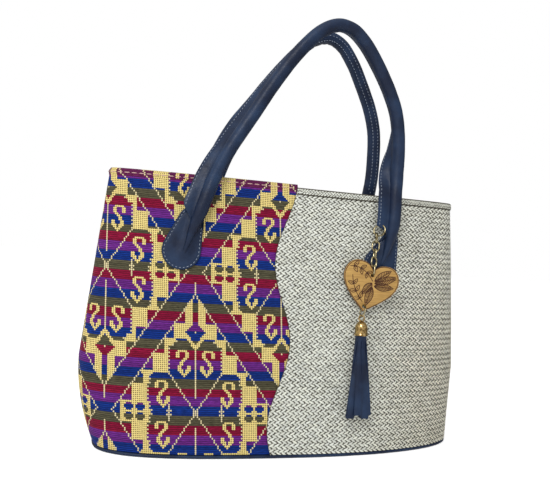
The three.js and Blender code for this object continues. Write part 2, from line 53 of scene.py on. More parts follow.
def pick(obj):
    clearSelection()
    obj.select_set(True)
    bpy.context.view_layer.objects.active = obj


def nameIt(obj, name):
    obj.name = name
    obj.data.name = name


def editAll(obj, operator, **settings):
    pick(obj)
    bpy.ops.object.mode_set(mode="EDIT")
    bpy.ops.mesh.select_all(action="SELECT")
    operator(**settings)
    bpy.ops.object.mode_set(mode="OBJECT")


def weld(obj, reach=0.01):
    editAll(obj, bpy.ops.mesh.remove_doubles, threshold=reach * mm)
    editAll(obj, bpy.ops.mesh.dissolve_degenerate, threshold=sliver * mm)


# Merges what meets and turns the faces outwards
def closeUp(obj, reach=0.01):
    weld(obj, reach)
    editAll(obj, bpy.ops.mesh.normals_make_consistent, inside=False)


def addModifier(obj, kind, **settings):
    pick(obj)
    modifier = obj.modifiers.new(kind.lower(), kind)
    for key, value in settings.items():
        setattr(modifier, key, value)
    bpy.ops.object.modifier_apply(modifier=modifier.name)


def smooth(obj, degrees):
    pick(obj)
    bpy.ops.object.shade_smooth_by_angle(angle=math.radians(degrees))


# Gives a sheet of cloth or straw its thickness, inwards
def thicken(obj, thick):
    weld(obj)
    addModifier(obj, "SOLIDIFY", thickness=thick * mm, offset=-1)
    smooth(obj, 40)


# A flat grid whose corners are laid out by a function of their column and row, in millimetres. Its UV map
# counts columns and rows. Gives back the piece and each face's column and row.
def layGrid(name, columns, rows, place):
    clearSelection()
    bpy.ops.mesh.primitive_grid_add(x_subdivisions=columns, y_subdivisions=rows, size=1)
    obj = bpy.context.object
    nameIt(obj, name)
    mesh = obj.data
    flat = np.zeros(len(mesh.vertices) * 3)
    mesh.vertices.foreach_get("co", flat)
    flat = flat.reshape(-1, 3)
    column = np.rint((flat[:, 0] + 0.5) * columns).astype(int)
    row = np.rint((flat[:, 1] + 0.5) * rows).astype(int)
    mesh.vertices.foreach_set("co", (place(column, row) * mm).ravel())
    corners = np.zeros(len(mesh.loops), int)
    mesh.loops.foreach_get("vertex_index", corners)
    counts = np.stack([column, row], -1)[corners].astype(float)
    mesh.uv_layers[0].name = "UVMap"
    mesh.uv_layers[0].data.foreach_set("uv", counts.ravel())
    mesh.update()
    corners = corners.reshape(-1, 4)
    return obj, column[corners].min(1), row[corners].min(1)


# Many small grids as one piece: columns are counted along all of them in turn
def makeRepeats(name, count, cellsLong, cellsWide, place):
    stride = cellsLong + 1

    def placeAll(column, row):
        return place(column // stride, column % stride, row)

    piece, faceColumn, _ = layGrid(name, count * stride - 1, cellsWide, placeAll)
    bridge = faceColumn % stride == cellsLong
    pick(piece)
    bpy.context.tool_settings.mesh_select_mode = (False, False, True)
    bpy.ops.object.mode_set(mode="EDIT")
    bpy.ops.mesh.select_all(action="DESELECT")
    bpy.ops.object.mode_set(mode="OBJECT")
    piece.data.polygons.foreach_set("select", bridge)
    bpy.ops.object.mode_set(mode="EDIT")
    bpy.ops.mesh.delete(type="FACE")
    bpy.ops.object.mode_set(mode="OBJECT")
    return piece, faceColumn[~bridge] // stride


# A colour for each face, on all its corners
def paintFaces(mesh, name, colours):
    layer = mesh.color_attributes.new(name, "FLOAT_COLOR", "CORNER")
    perCorner = np.ones((len(mesh.loops), 4))
    perCorner[:, :3] = np.repeat(colours, 4, axis=0)
    layer.data.foreach_set("color", perCorner.ravel())


def placeMesh(obj, matrix):
    obj.data.transform(matrix)
    obj.data.update()


def joinAll(name, objects):
    pick(objects[0])
    for obj in objects:
        obj.select_set(True)
    bpy.ops.object.join()
    nameIt(objects[0], name)
    return objects[0]


def finishPiece(obj, material, nodes=()):
    obj.data.materials.clear()
    obj.data.materials.append(material)
    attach(obj, "root")
    if nodes:
        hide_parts(*nodes)
    return obj


def hexColour(code):
    parts = [int(code[i : i + 2], 16) / 255 for i in (1, 3, 5)]
    return [c / 12.92 if c <= 0.04045 else ((c + 0.055) / 1.055) ** 2.4 for c in parts]


def rgba(code):
    return (*hexColour(code), 1)


# Sets a node's own values and its inputs; an input that is given a node or a socket is fed by it
def feed(tree, node, settings):
    for key, value in settings.items():
        source = value.outputs[0] if isinstance(value, bpy.types.Node) else value
        if isinstance(source, bpy.types.NodeSocket):
            tree.links.new(source, node.inputs[key])
        elif isinstance(key, str) and hasattr(node, key):
            setattr(node, key, value)
        else:
            node.inputs[key].default_value = value


# Inputs by number: Math 0 and 1; MapRange 0 value, 1 and 2 from, 3 and 4 to; Mix 0 share, 2 and 3 numbers,
# 6 and 7 colours, whose result is output 2
def addNode(tree, kind, settings=()):
    node = tree.nodes.new("ShaderNode" + kind)
    feed(tree, node, dict(settings))
    return node


def newMaterial(name):
    material = bpy.data.materials.new(name)
    material.use_nodes = True
    tree = material.node_tree
    shader = next(n for n in tree.nodes if n.type == "BSDF_PRINCIPLED")
    return material, tree, shader


def blend(low, high, share):
    return low + (high - low) * share


def smoothStep(x, low, high):
    t = np.clip((x - low) / (high - low), 0, 1)
    return t * t * (3 - 2 * t)


def unit(v):
    return v / np.linalg.norm(v, axis=-1, keepdims=True)


# Distances along a line of points, from its first one
def lengthsAlong(points):
    return np.concatenate([[0], np.cumsum(np.linalg.norm(np.diff(points, axis=0), axis=1))])


def pointsAt(distance, lengths, points):
    return np.stack([np.interp(distance, lengths, part) for part in points.T], -1)


stitch = {"cells": 4, "ring": 6, "arch": 0.75, "sunk": 0.1, "weld": 0.002}


# Stitches as bent rods that dive into the leather or cloth at both ends
def makeStitches(name, spots, ahead, normal, long, radius):
    sideways = np.cross(normal, ahead)

    def place(which, column, row):
        a = column / stitch["cells"] * 2 - 1
        turn = 2 * pi * (row % stitch["ring"]) / stitch["ring"]
        thick = radius * np.sqrt(np.maximum(0, 1 - a**4))
        height = radius * stitch["arch"] * (1 - a**2) - stitch["sunk"] + thick * np.sin(turn)
        return (
            spots[which]
            + ahead[which] * (a * long / 2)[:, None]
            + normal[which] * height[:, None]
            + sideways[which] * (thick * np.cos(turn))[:, None]
        )

    piece = makeRepeats(name, len(spots), stitch["cells"], stitch["ring"], place)[0]
    closeUp(piece, stitch["weld"])
    smooth(piece, 80)
    return piece


def threadMaterial(name, code):
    # Waxed polyester sewing thread: pale, with a soft shine and its twist as fine stripes
    material, tree, shader = newMaterial(name)
    uv = addNode(tree, "UVMap", {"uv_map": "UVMap"})
    twist = addNode(tree, "TexWave", {"bands_direction": "DIAGONAL", "Scale": 0.6, "Vector": uv})
    shade = addNode(tree, "MapRange", {0: twist.outputs["Fac"], 3: 0.78, 4: 1.05})
    colour = addNode(tree, "VectorMath", {"operation": "SCALE", 0: hexColour(code), "Scale": shade})
    feed(tree, shader, {"Base Color": colour, "Roughness": 0.55})
    return material


# Camera: the photograph's place, aim and roll

cameraPlace = {
    "at": (-178.5, -597.1, 206.3),
    "right": (0.9605, -0.266, 0.0814),
    "up": (-0.0731, 0.0408, 0.9965),
    "focalPixels": 632.08,
    "imageWide": 550,
    "sensorWide": 36,
    "clipStart": 0.01,
}


def makeCamera():
    right = Vector(cameraPlace["right"]).normalized()
    back = right.cross(Vector(cameraPlace["up"])).normalized()
    turn = Matrix((right, back.cross(right), back)).transposed()
    clearSelection()
    bpy.ops.object.camera_add()
    camera = bpy.context.object
    camera.matrix_world = Matrix.Translation(Vector(cameraPlace["at"]) * mm) @ turn.to_4x4()
    camera.data.sensor_fit = "HORIZONTAL"
    camera.data.sensor_width = cameraPlace["sensorWide"]
    camera.data.lens = cameraPlace["sensorWide"] * cameraPlace["focalPixels"] / cameraPlace["imageWide"]
    camera.data.clip_start = cameraPlace["clipStart"]
    bpy.context.scene.camera = camera


makeCamera()
print("stage: camera")

# The bag's wall, repeated from the part's source. A half width is given at the foot, at the fullest height
# and at the top, a half depth and a squareness at the foot and at the top.

body = {
    "height": 250,
    "fullestAt": 80,
    "halfDepth": (53.8, 25),
    "left": {"halfWidth": (171, 189.6, 174.3), "squareness": (3.12, 2.26)},
    "right": {"halfWidth": (189, 187.5, 169.8), "squareness": (2.1, 4.2)},
}
# The straw's wavy front edge, and how far the cloth laps under it
seam = {
    "middle": -10.5,
    "swing": 9,
    "wave": 150,
    "crestAt": 102,
    "lap": 9,
    "lapNarrows": 234,
    "lapEnds": 245,
    "lapLeast": 0.6,
}
# The table in which a wall half looks up its turns: how far they go past the middles, how many there are,
# the top height and the height of a row, the distances along the outline and the step between them
wallTable = {"past": 0.5, "turns": 4001, "top": 256, "rise": 2, "along": (-30, 470), "step": 0.25}
clothSide, strawSide = -1, 1


# Half width, half depth and squareness of the section at a height, left or right of the middle
def sectionAt(z, toRight):
    below = np.maximum(0, 1 - z / body["fullestAt"])
    above = np.maximum(0, (z - body["fullestAt"]) / (body["height"] - body["fullestAt"]))
    up = z / body["height"]
    ends = []
    for end in (body["left"], body["right"]):
        foot, fullest, top = end["halfWidth"]
        width = fullest - (fullest - foot) * below**2 - (fullest - top) * above
        ends.append((width, blend(*end["squareness"], up)))
    halfWidth, squareness = (np.where(toRight, right, left) for left, right in zip(*ends))
    return halfWidth, blend(*body["halfDepth"], up), squareness


def wallPoint(angle, z, out):
    along, across = np.cos(angle), np.sin(angle)
    halfWidth, halfDepth, squareness = sectionAt(z, along >= 0)
    power = 2 / squareness
    x = (halfWidth + out) * np.sign(along) * np.abs(along) ** power
    y = (halfDepth + out) * np.sign(across) * np.abs(across) ** power
    return np.stack([x, y, z + 0 * angle], -1)


def facePoint(x, z, side, out):
    halfWidth, halfDepth, squareness = sectionAt(z, x >= 0)
    share = np.abs(x) / (halfWidth + out)
    y = side * (halfDepth + out) * (1 - share**squareness) ** (1 / squareness)
    return np.stack([x + 0 * y, y, z + 0 * y], -1)


def frontSeamX(z):
    return seam["middle"] + seam["swing"] * np.cos(2 * pi * (z - seam["crestAt"]) / seam["wave"])


def backSeamX(z):
    return seam["middle"] + 0 * z


# One half of the wall as distances: along the outline from the middle of the front, and height
class WallHalf:
    def __init__(self, side):
        self.side = side
        self.turns = np.linspace(-wallTable["past"], pi + wallTable["past"], wallTable["turns"])
        self.heights = np.arange(0, wallTable["top"] + wallTable["rise"], wallTable["rise"])
        rows = [wallPoint(self.angle(self.turns), z, 0) for z in self.heights]
        self.rowX = [r[:, 0] for r in rows]
        front = int(np.argmin(np.abs(self.turns)))
        self.lengths = [lengthsAlong(r) for r in rows]
        self.lengths = [l - l[front] for l in self.lengths]
        low, high = wallTable["along"]
        self.along = np.linspace(low, high, round((high - low) / wallTable["step"]) + 1)
        self.turnTable = np.array([np.interp(self.along, l, self.turns) for l in self.lengths])

    def angle(self, turn):
        return -pi / 2 + self.side * turn

    # The point at a distance along and a height, by looking up its turn in the table
    def point(self, along, z, out):
        within = 1.001  # stays short of the table's last row and column
        row = np.clip(z / wallTable["rise"], 0, len(self.heights) - within)
        col = np.clip((along - self.along[0]) / wallTable["step"], 0, len(self.along) - within)
        r, c = row.astype(int), col.astype(int)
        fr, fc = row - r, col - c
        table = self.turnTable
        low = table[r, c] * (1 - fc) + table[r, c + 1] * fc
        high = table[r + 1, c] * (1 - fc) + table[r + 1, c + 1] * fc
        return wallPoint(self.angle(low * (1 - fr) + high * fr), z, out)

    # Distance along the outline where the front or the back is at a given X
    def edge(self, xAt, back):
        found = []
        middle = len(self.turns) // 2
        part = slice(middle, None) if back else slice(0, middle)
        for j, z in enumerate(self.heights):
            x = self.rowX[j][part] * self.side
            order = np.argsort(x)
            found.append(np.interp(self.side * xAt(z), x[order], self.lengths[j][part][order]))
        return lambda z: np.interp(z, self.heights, found)


# Brocade cloth: striped ground with raised yellow figures, drawn on a thread chart

cloth = {
    "cell": 1.672,  # one thread group, both ways
    "shear": 0.065,  # the warp leans: it runs to the right going down
    "axisAt": 13.0,  # a figure's axis, distance left of the front's middle
    "rowAt": 162.8,  # height of that figure's centre
    "halfRepeat": (48, 74),  # threads to the next figure, across and up
    "repeats": (range(-7, 3), range(-3, 4)),  # figures to each side, across and up
    "columns": (-252, 20),  # first and last thread group across
    "rows": (-95, 55),
    "rowMargin": (0.5, 0.3),  # least room between a thread row and the wall's foot or the fold
    "stripeTop": 226.03,
    "stripePeriod": 33.06,
    "stripes": ("crimson", "purple", "blue", "olive"),
    "bottom": 3.3,
    "top": 251,
    "out": -1.3,
    "foldIn": -3.8,
    "hemDeep": 8.5,
    "foldSteps": 6,
    "hemSteps": 5,
    "rollDeep": 7.0,  # the band along the top edge, which the turned hem pads out
    "rollProud": 0.9,
    "thick": 1.0,
    "rowTone": (0.68, 0.94),
    "toneRows": 400,
    "floatTone": (0.88, 1.04),
    "dash": ((0.3, 0.46, 0), (0.36, 0.5, 0.25)),  # across and up: solid to, gone at, what is left there
    "pinhole": (0.2, 0.4),  # painted shade in the holes between floats: dark out to the first distance from a thread crossing, gone at the second
    "pinholeShadeColour": "#4d3a2a",
    "flat": (0.42, 0.2561),
}
threadColours = {
    "crimson": "#8e0f38",
    "purple": "#722b8d",
    "blue": "#0d3387",
    "olive": "#5b5742",
    "plum": "#6f2457",
    "yellow": "#f2dc8c",
    "cream": "#eadcab",
}
hookChart = [
    "..#####.",
    ".##...##",
    ".##...##",
    ".##...##",
    "..##....",
    "...##...",
    "....##..",
    "....##..",
    "##...##.",
    "##...##.",
    "###.###.",
    ".##.##..",
    "..###...",
    "...#....",
]
# Where hooks stand beside a figure's axis: first thread across and the top thread
hookPlaces = [(3, 32), (3, -21), (14, 16), (14, -5)]
# Blocks of one quarter of the figure: first and last thread across, first and last thread up
yellowBlocks = [
    (25, 39, 0, 5),
    (24, 24, 0, 1),
    (26, 33, 6, 14),
    (25, 27, 15, 19),
    (23, 28, 20, 21),
    (15, 22, 21, 30),
    (15, 16, 31, 34),
    (13, 16, 35, 35),
    (12, 16, 36, 36),
    (11, 16, 37, 38),
]
thinLines = [
    (0, 0, 62, 68),
    (0, 0, 8, 33),
    (14, 14, 0, 4),
    (13, 15, 1, 1),
    (0, 1, 0, 0),
    (0, 0, 0, 1),
    (0, 0, 42, 42),
]
# Slanted forms of the figure, in threads
petal = {"axis": 32, "apart": 2.9, "up": 2.4, "half": (2.4, 2)}
lozenge = {"up": 42, "half": (5, 6.5), "block": (0, 11, 39, 46)}
chevron = {"rows": (33, 38), "slope": 0.75, "outer": 0.5, "innerFrom": 35}
spear = (2, 5, 47, 60)
cross = {"rows": 20, "slope": 0.69}
rhombus = (43.7, 62)  # the thin outline's reach across and up
plainGround, figureBlock, figureLine = 0, 1, 2


def inBlock(a, b, block):
    first, last, low, high = block
    return (a >= first) & (a <= last) & (b >= low) & (b <= high)


# One figure at threads p across and q up from its centre
def figureAt(p, q):
    a, b = np.abs(p), np.abs(q)
    kind = np.zeros(p.shape, int)
    outline = rhombus[0] * (1 - b / rhombus[1])
    tooth = b % 2
    for first, last, low, high in yellowBlocks:
        inRows = (b >= low) & (b <= high)
        kind[inRows & (a == first - tooth) & (kind == plainGround)] = figureLine
        kind[inRows & (a >= first) & (a <= last)] = figureBlock
    across = (np.abs(a - petal["axis"]) - petal["apart"]) / petal["half"][0]
    kind[across**2 + ((b - petal["up"]) / petal["half"][1]) ** 2 <= 1] = plainGround
    opening = lozenge["half"][0] * (1 - np.abs(b - lozenge["up"]) / lozenge["half"][1])
    kind[inBlock(a, b, lozenge["block"]) & (a > opening)] = figureBlock
    low, high = chevron["rows"]
    slanted = a <= (b - low) * chevron["slope"] + chevron["outer"]
    slanted &= a >= (b - chevron["innerFrom"]) * chevron["slope"]
    kind[(b >= low) & (b <= high) & slanted] = figureBlock
    kind[inBlock(a, b, spear) & (a <= outline)] = figureBlock
    for first, top in hookPlaces:
        for r, threads in enumerate(hookChart):
            for c, mark in enumerate(threads):
                if mark == "#":
                    kind[(a == first + c) & (q == top - r)] = figureBlock
    lines = (b <= rhombus[1]) & (a == np.rint(outline))
    lines |= (b <= cross["rows"]) & (a == np.rint(cross["slope"] * b))
    for block in thinLines:
        lines |= inBlock(a, b, block)
    kind[lines & (kind == plainGround)] = figureLine
    return kind


# All figures, which stand in a half-drop repeat
def brocadeAt(column, row):
    across, up = cloth["halfRepeat"]
    kind = np.zeros(column.shape, int)
    for m in cloth["repeats"][0]:
        for n in cloth["repeats"][1]:
            if (m + n) % 2 == 0:
                p, q = column - m * across, row - n * up
                near = (np.abs(p) <= across) & (np.abs(q) <= up)
                kind[near] = np.maximum(kind[near], figureAt(p[near], q[near]))
    return kind


def clothMaterial():
    # Handwoven cotton brocade: matt ribbed ground with painted shade in the grooves between its rows, thick
    # yellow floats with pinholes between them coloured dark as painted shade, and thin lines of single pale
    # floats
    material, tree, shader = newMaterial("handwoven_brocade")
    thread = addNode(tree, "Attribute", {"attribute_name": "threadColour"})
    ground = addNode(tree, "Attribute", {"attribute_name": "groundColour"})
    figure = addNode(tree, "Attribute", {"attribute_name": "figure"}).outputs["Fac"]
    cells = addNode(tree, "UVMap", {"uv_map": "UVMap"})  # counts thread groups
    apart = addNode(tree, "SeparateXYZ", {0: cells})
    fades = []
    for axis, (solid, gone, least) in enumerate(cloth["dash"]):
        inCell = addNode(tree, "Math", {"operation": "FRACT", 0: apart.outputs[axis]})
        signed = addNode(tree, "Math", {"operation": "SUBTRACT", 0: inCell, 1: 0.5})
        fromMiddle = addNode(tree, "Math", {"operation": "ABSOLUTE", 0: signed})
        fades.append(addNode(tree, "MapRange", {0: fromMiddle, 1: solid, 2: gone, 3: 1, 4: least}))
    dash = addNode(tree, "Math", {"operation": "MULTIPLY", 0: fades[0], 1: fades[1]})
    isBlock = addNode(tree, "MapRange", {0: figure, 1: 0.7, 2: 0.8})
    isFigure = addNode(tree, "MapRange", {0: figure, 1: 0.2, 2: 0.3})
    shape = addNode(tree, "Mix", {0: isBlock, 2: dash, 3: 1})
    drawn = addNode(tree, "Math", {"operation": "MULTIPLY", 0: isFigure, 1: shape})
    regular = {"voronoi_dimensions": "2D", "Scale": 1, "Randomness": 0, "Vector": cells}
    crossing = addNode(tree, "TexVoronoi", regular).outputs["Distance"]
    dark, gone = cloth["pinhole"]
    pinhole = addNode(tree, "MapRange", {0: crossing, 1: dark, 2: gone, 3: 1, 4: 0})
    rib = addNode(tree, "TexWave", {"bands_direction": "Y", "Scale": 0.314, "Vector": cells}).outputs["Fac"]
    drawnOut = addNode(tree, "Mapping", {"Scale": (0.35, 2.2, 1), "Vector": cells})
    fibre = addNode(tree, "TexNoise", {"noise_dimensions": "2D", "Scale": 1, "Detail": 3, "Vector": drawnOut})
    uneven = addNode(tree, "MapRange", {0: fibre, 1: 0.25, 2: 0.75, 3: 0.6, 4: 1.3})
    # Painted shade: the grooves between the weft rows are darker
    ribShade = addNode(tree, "MapRange", {0: rib, 3: 0.48, 4: 1.24})
    shade = addNode(tree, "Math", {"operation": "MULTIPLY", 0: uneven, 1: ribShade})
    ribbed = addNode(tree, "VectorMath", {"operation": "SCALE", 0: ground, "Scale": shade})
    # The pinholes' painted shade
    holeShadeColour = rgba(cloth["pinholeShadeColour"])
    floated = addNode(tree, "Mix", {"data_type": "RGBA", 0: pinhole, 6: thread, 7: holeShadeColour})
    colour = addNode(tree, "Mix", {"data_type": "RGBA", 0: drawn, 6: ribbed, 7: floated.outputs[2]})
    holed = addNode(tree, "Math", {"operation": "MULTIPLY", 0: pinhole, 1: drawn})
    raised = addNode(tree, "Math", {"operation": "SUBTRACT", 0: drawn, 1: holed})
    height = addNode(tree, "Math", {"operation": "MULTIPLY_ADD", 0: rib, 1: 0.5, 2: raised})
    bump = addNode(tree, "Bump", {"Strength": 0.4, "Distance": 0.4 * mm, "Height": height})
    feed(tree, shader, {"Base Color": colour.outputs[2], "Normal": bump, "Roughness": 0.9})
    feed(tree, shader, {"Specular IOR Level": 0.12, "Sheen Weight": 0.04, "Sheen Roughness": 0.6})
    return material


# Heights and distances out of a wall that goes up to its top, over a fold and down again inside or outside
def foldProfile(size, straight, outTo):
    fold = (size["out"] - outTo) / 2
    profile = [(z, size["out"]) for z in straight]
    for turn in np.linspace(0, pi, size["foldSteps"]):
        up = abs(fold) * math.sin(turn)
        profile.append((size["top"] - abs(fold) + up, size["out"] - fold + fold * math.cos(turn)))
    for z in np.linspace(size["top"] - abs(fold), size["top"] - size["hemDeep"], size["hemSteps"])[1:]:
        profile.append((z, outTo))
    return np.array(profile).T


# The lap under the straw narrows to nothing at the top, where the cloth stands higher than the straw
def lapAt(z):
    return blend(seam["lap"], seam["lapLeast"], smoothStep(z, seam["lapNarrows"], seam["lapEnds"]))


def makeCloth(half):
    cell = cloth["cell"]
    foot, fold = cloth["rowMargin"]
    fold += (cloth["out"] - cloth["foldIn"]) / 2
    threadRows = np.arange(*cloth["rows"]) * cell - cell / 2 + cloth["rowAt"]
    straight = threadRows[(threadRows > cloth["bottom"] + foot) & (threadRows < cloth["top"] - fold)]
    straight = [cloth["bottom"], *straight]
    heights, outs = foldProfile(cloth, straight, cloth["foldIn"])
    rollShare = np.clip(1 - (cloth["top"] - heights) / cloth["rollDeep"], 0, 1)
    outs = outs + np.where(outs == cloth["out"], cloth["rollProud"] * np.sin(pi * rollShare), 0)
    firstColumn, lastColumn = cloth["columns"]
    frontEdge = half.edge(lambda z: frontSeamX(z) + lapAt(z), back=False)
    backEdge = half.edge(lambda z: backSeamX(z) + lapAt(z), back=True)

    def place(column, row):
        z = heights[row]
        lean = cloth["shear"] * (cloth["rowAt"] - z)
        along = cloth["axisAt"] - lean - (column + firstColumn - 0.5) * cell
        along = np.clip(along, frontEdge(z), backEdge(z))
        return half.point(along, z, outs[row])

    panel, faceColumn, faceRow = layGrid("cloth_panel", lastColumn - firstColumn, len(heights) - 1, place)
    mesh = panel.data
    z = (heights[faceRow] + heights[faceRow + 1]) / 2
    row = np.rint((z - cloth["rowAt"]) / cell).astype(int)
    kind = brocadeAt(faceColumn + firstColumn, row)
    stripes = np.array([hexColour(threadColours[name]) for name in cloth["stripes"]])
    phase = (cloth["stripeTop"] - z) / cloth["stripePeriod"]
    colour = stripes[np.floor((phase % 1) * len(stripes)).astype(int)]
    colour[z > cloth["top"] - cloth["rollDeep"]] = hexColour(threadColours["plum"])
    rowTone = dice.uniform(*cloth["rowTone"], cloth["toneRows"])[row + cloth["toneRows"] // 2]
    thread = np.tile(np.array(hexColour(threadColours["yellow"])), (len(kind), 1))
    thread[kind == figureLine] = hexColour(threadColours["cream"])
    thread = thread * dice.uniform(*cloth["floatTone"], len(kind))[:, None]
    paintFaces(mesh, "groundColour", colour * rowTone[:, None])
    paintFaces(mesh, "threadColour", thread)
    figure = mesh.attributes.new("figure", "FLOAT", "FACE")
    marks = np.array([0, 1, 0.5], np.float32)  # plain ground, block, line
    figure.data.foreach_set("value", marks[kind])
    thicken(panel, cloth["thick"])
    return finishPiece(panel, clothMaterial(), ["textile_panel"])


clothHalf = WallHalf(clothSide)
clothPanel = makeCloth(clothHalf)
print("stage: cloth panel", len(clothPanel.data.polygons))

# Woven paper straw: an under layer painted dark as the shade between strands, and the strands' floats over it

straw = {
    "across": 4.88,  # distance between strands of one row, along the wall
    "up": 5.08,  # height of two rows, whose strands lean opposite ways
    "reach": (-40, 450),  # strands are laid out between these distances along the wall
    "firstRow": 0.2,  # share of a row above the topmost strands
    "lean": 0.51,
    "floatLong": 5.6,
    "floatWide": 1.72,
    "slim": 0.3,  # share of its width that a strand loses at the ends
    "hemScale": 0.62,
    "rise": 0.6325,  # a strand's arch along its length and its roundness across, less how far it is sunk
    "round": 0.26,
    "sunk": 0.12,
    "uneven": {"place": 0.2, "lean": 0.09, "long": 0.07, "wide": 0.12},
    "overEdge": 1.6,  # strands whose middle is up to this far past an edge are still laid, and clipped there
    "edgeIn": 0.1,
    "footRoom": 0.4,
    "bottom": 3.3,
    "top": 247,
    "hemDeep": 5.6,
    "out": 0.1,
    "thick": 1.0,
    "foldRadius": 0.15,
    "columns": 110,
    "rows": 62,
    "foldSteps": 6,
    "hemSteps": 4,
    "cells": (4, 2),  # faces along and across one strand
    # share of a strand's colour left at its ends, where painted shade darkens it
    "endShade": 0.7,
    "tone": "#e7eae1",
    "toneSpread": (0.8, 1.05),
    "warmth": (0.01, 0, -0.04),
    "drawnTight": 0.1,  # width that the strands lose where the wall turns to the right end
    "tightBetween": (40, 150),
    "shadeAndTint": (0.08, 0.13, 0.2),  # colour lost towards the lower right: painted shade where the wall turns away from the light, with a warm tint
    "shadeAndTintBetween": (40, 185),
    "shadeAndTintLess": (0.6, 60, 240),  # share that is gone again at the top, from and to these heights
    "flat": (0.428, 0.2521),
}


def strandMaterial():
    # Twisted paper straw: pale, dry and slightly silky, streaked along the strand
    material, tree, shader = newMaterial("paper_straw")
    tone = addNode(tree, "Attribute", {"attribute_name": "strandTone"})
    uv = addNode(tree, "UVMap", {"uv_map": "UVMap"})
    drawnOut = addNode(tree, "Mapping", {"Scale": (0.35, 4, 1), "Vector": uv})
    streaks = {"noise_dimensions": "2D", "Scale": 1, "Detail": 2, "Vector": drawnOut}
    streak = addNode(tree, "TexNoise", streaks)
    # The UV map counts columns: each strand has its own few, with painted shade at both ends where it dives
    # under others
    cellsLong = straw["cells"][0]
    middle = cellsLong / 2
    apart = addNode(tree, "SeparateXYZ", {0: uv})
    column = addNode(tree, "Math", {"operation": "FLOORED_MODULO", 0: apart, 1: cellsLong + 1})
    signed = addNode(tree, "Math", {"operation": "SUBTRACT", 0: column, 1: middle})
    fromMiddle = addNode(tree, "Math", {"operation": "ABSOLUTE", 0: signed})
    paintedEndShade = addNode(tree, "MapRange", {0: fromMiddle, 1: middle / 2, 2: middle, 3: 1, 4: straw["endShade"]})
    streaked = addNode(tree, "MapRange", {0: streak, 1: 0.3, 2: 0.7, 3: 0.85, 4: 1.1})
    shade = addNode(tree, "Math", {"operation": "MULTIPLY", 0: paintedEndShade, 1: streaked})
    colour = addNode(tree, "VectorMath", {"operation": "SCALE", 0: tone, "Scale": shade})
    bump = addNode(tree, "Bump", {"Strength": 0.25, "Distance": 0.2 * mm, "Height": streak})
    feed(tree, shader, {"Base Color": colour, "Normal": bump, "Roughness": 0.6, "Specular IOR Level": 0.35})
    return material


def underMaterial():
    # The same straw, coloured darker as painted shade between strands, and mottled
    material, tree, shader = newMaterial("straw_under_layer")
    spot = addNode(tree, "TexCoord").outputs["Object"]
    mottled = addNode(tree, "TexNoise", {"Scale": 1 / (3 * mm), "Detail": 2, "Vector": spot})
    # Both tones are dark: painted shade in the gaps between strands
    tones = {"data_type": "RGBA", 0: mottled, 6: rgba("#3d3a31"), 7: rgba("#5a564a")}
    colour = addNode(tree, "Mix", tones).outputs[2]
    bump = addNode(tree, "Bump", {"Strength": 0.4, "Distance": 0.3 * mm, "Height": mottled})
    feed(tree, shader, {"Base Color": colour, "Normal": bump, "Roughness": 0.9})
    return material


def makeUnderLayer(half, frontEdge, backEdge):
    straight = np.linspace(straw["bottom"], straw["top"] - straw["foldRadius"], straw["rows"])[:-1]
    outermost = straw["out"] + 2 * straw["foldRadius"]
    heights, outs = foldProfile(straw, straight, outermost)

    def place(column, row):
        z = heights[row]
        return half.point(blend(frontEdge(z), backEdge(z), column / straw["columns"]), z, outs[row])

    under = layGrid("straw_under_layer", straw["columns"], len(heights) - 1, place)[0]
    thicken(under, straw["thick"])
    return finishPiece(under, underMaterial()), outermost


# Two sets of strands, which lean opposite ways, on the wall and, smaller, on the folded hem
def strandSpots(hemAt):
    spots = []
    for low, high, size in ((straw["bottom"], hemAt, 1), (hemAt, straw["top"], straw["hemScale"])):
        across, up = straw["across"] * size, straw["up"] * size
        first, last = (int(end / across) for end in straw["reach"])
        for shift, lean in ((0, 1), (0.5, -1)):
            for i in range(first, last):
                for j in range(int((high - low) / up) + 1):
                    z = high - (j + shift + straw["firstRow"]) * up
                    spots.append(((i + shift) * across, z, lean, size))
    return np.array(spots).T


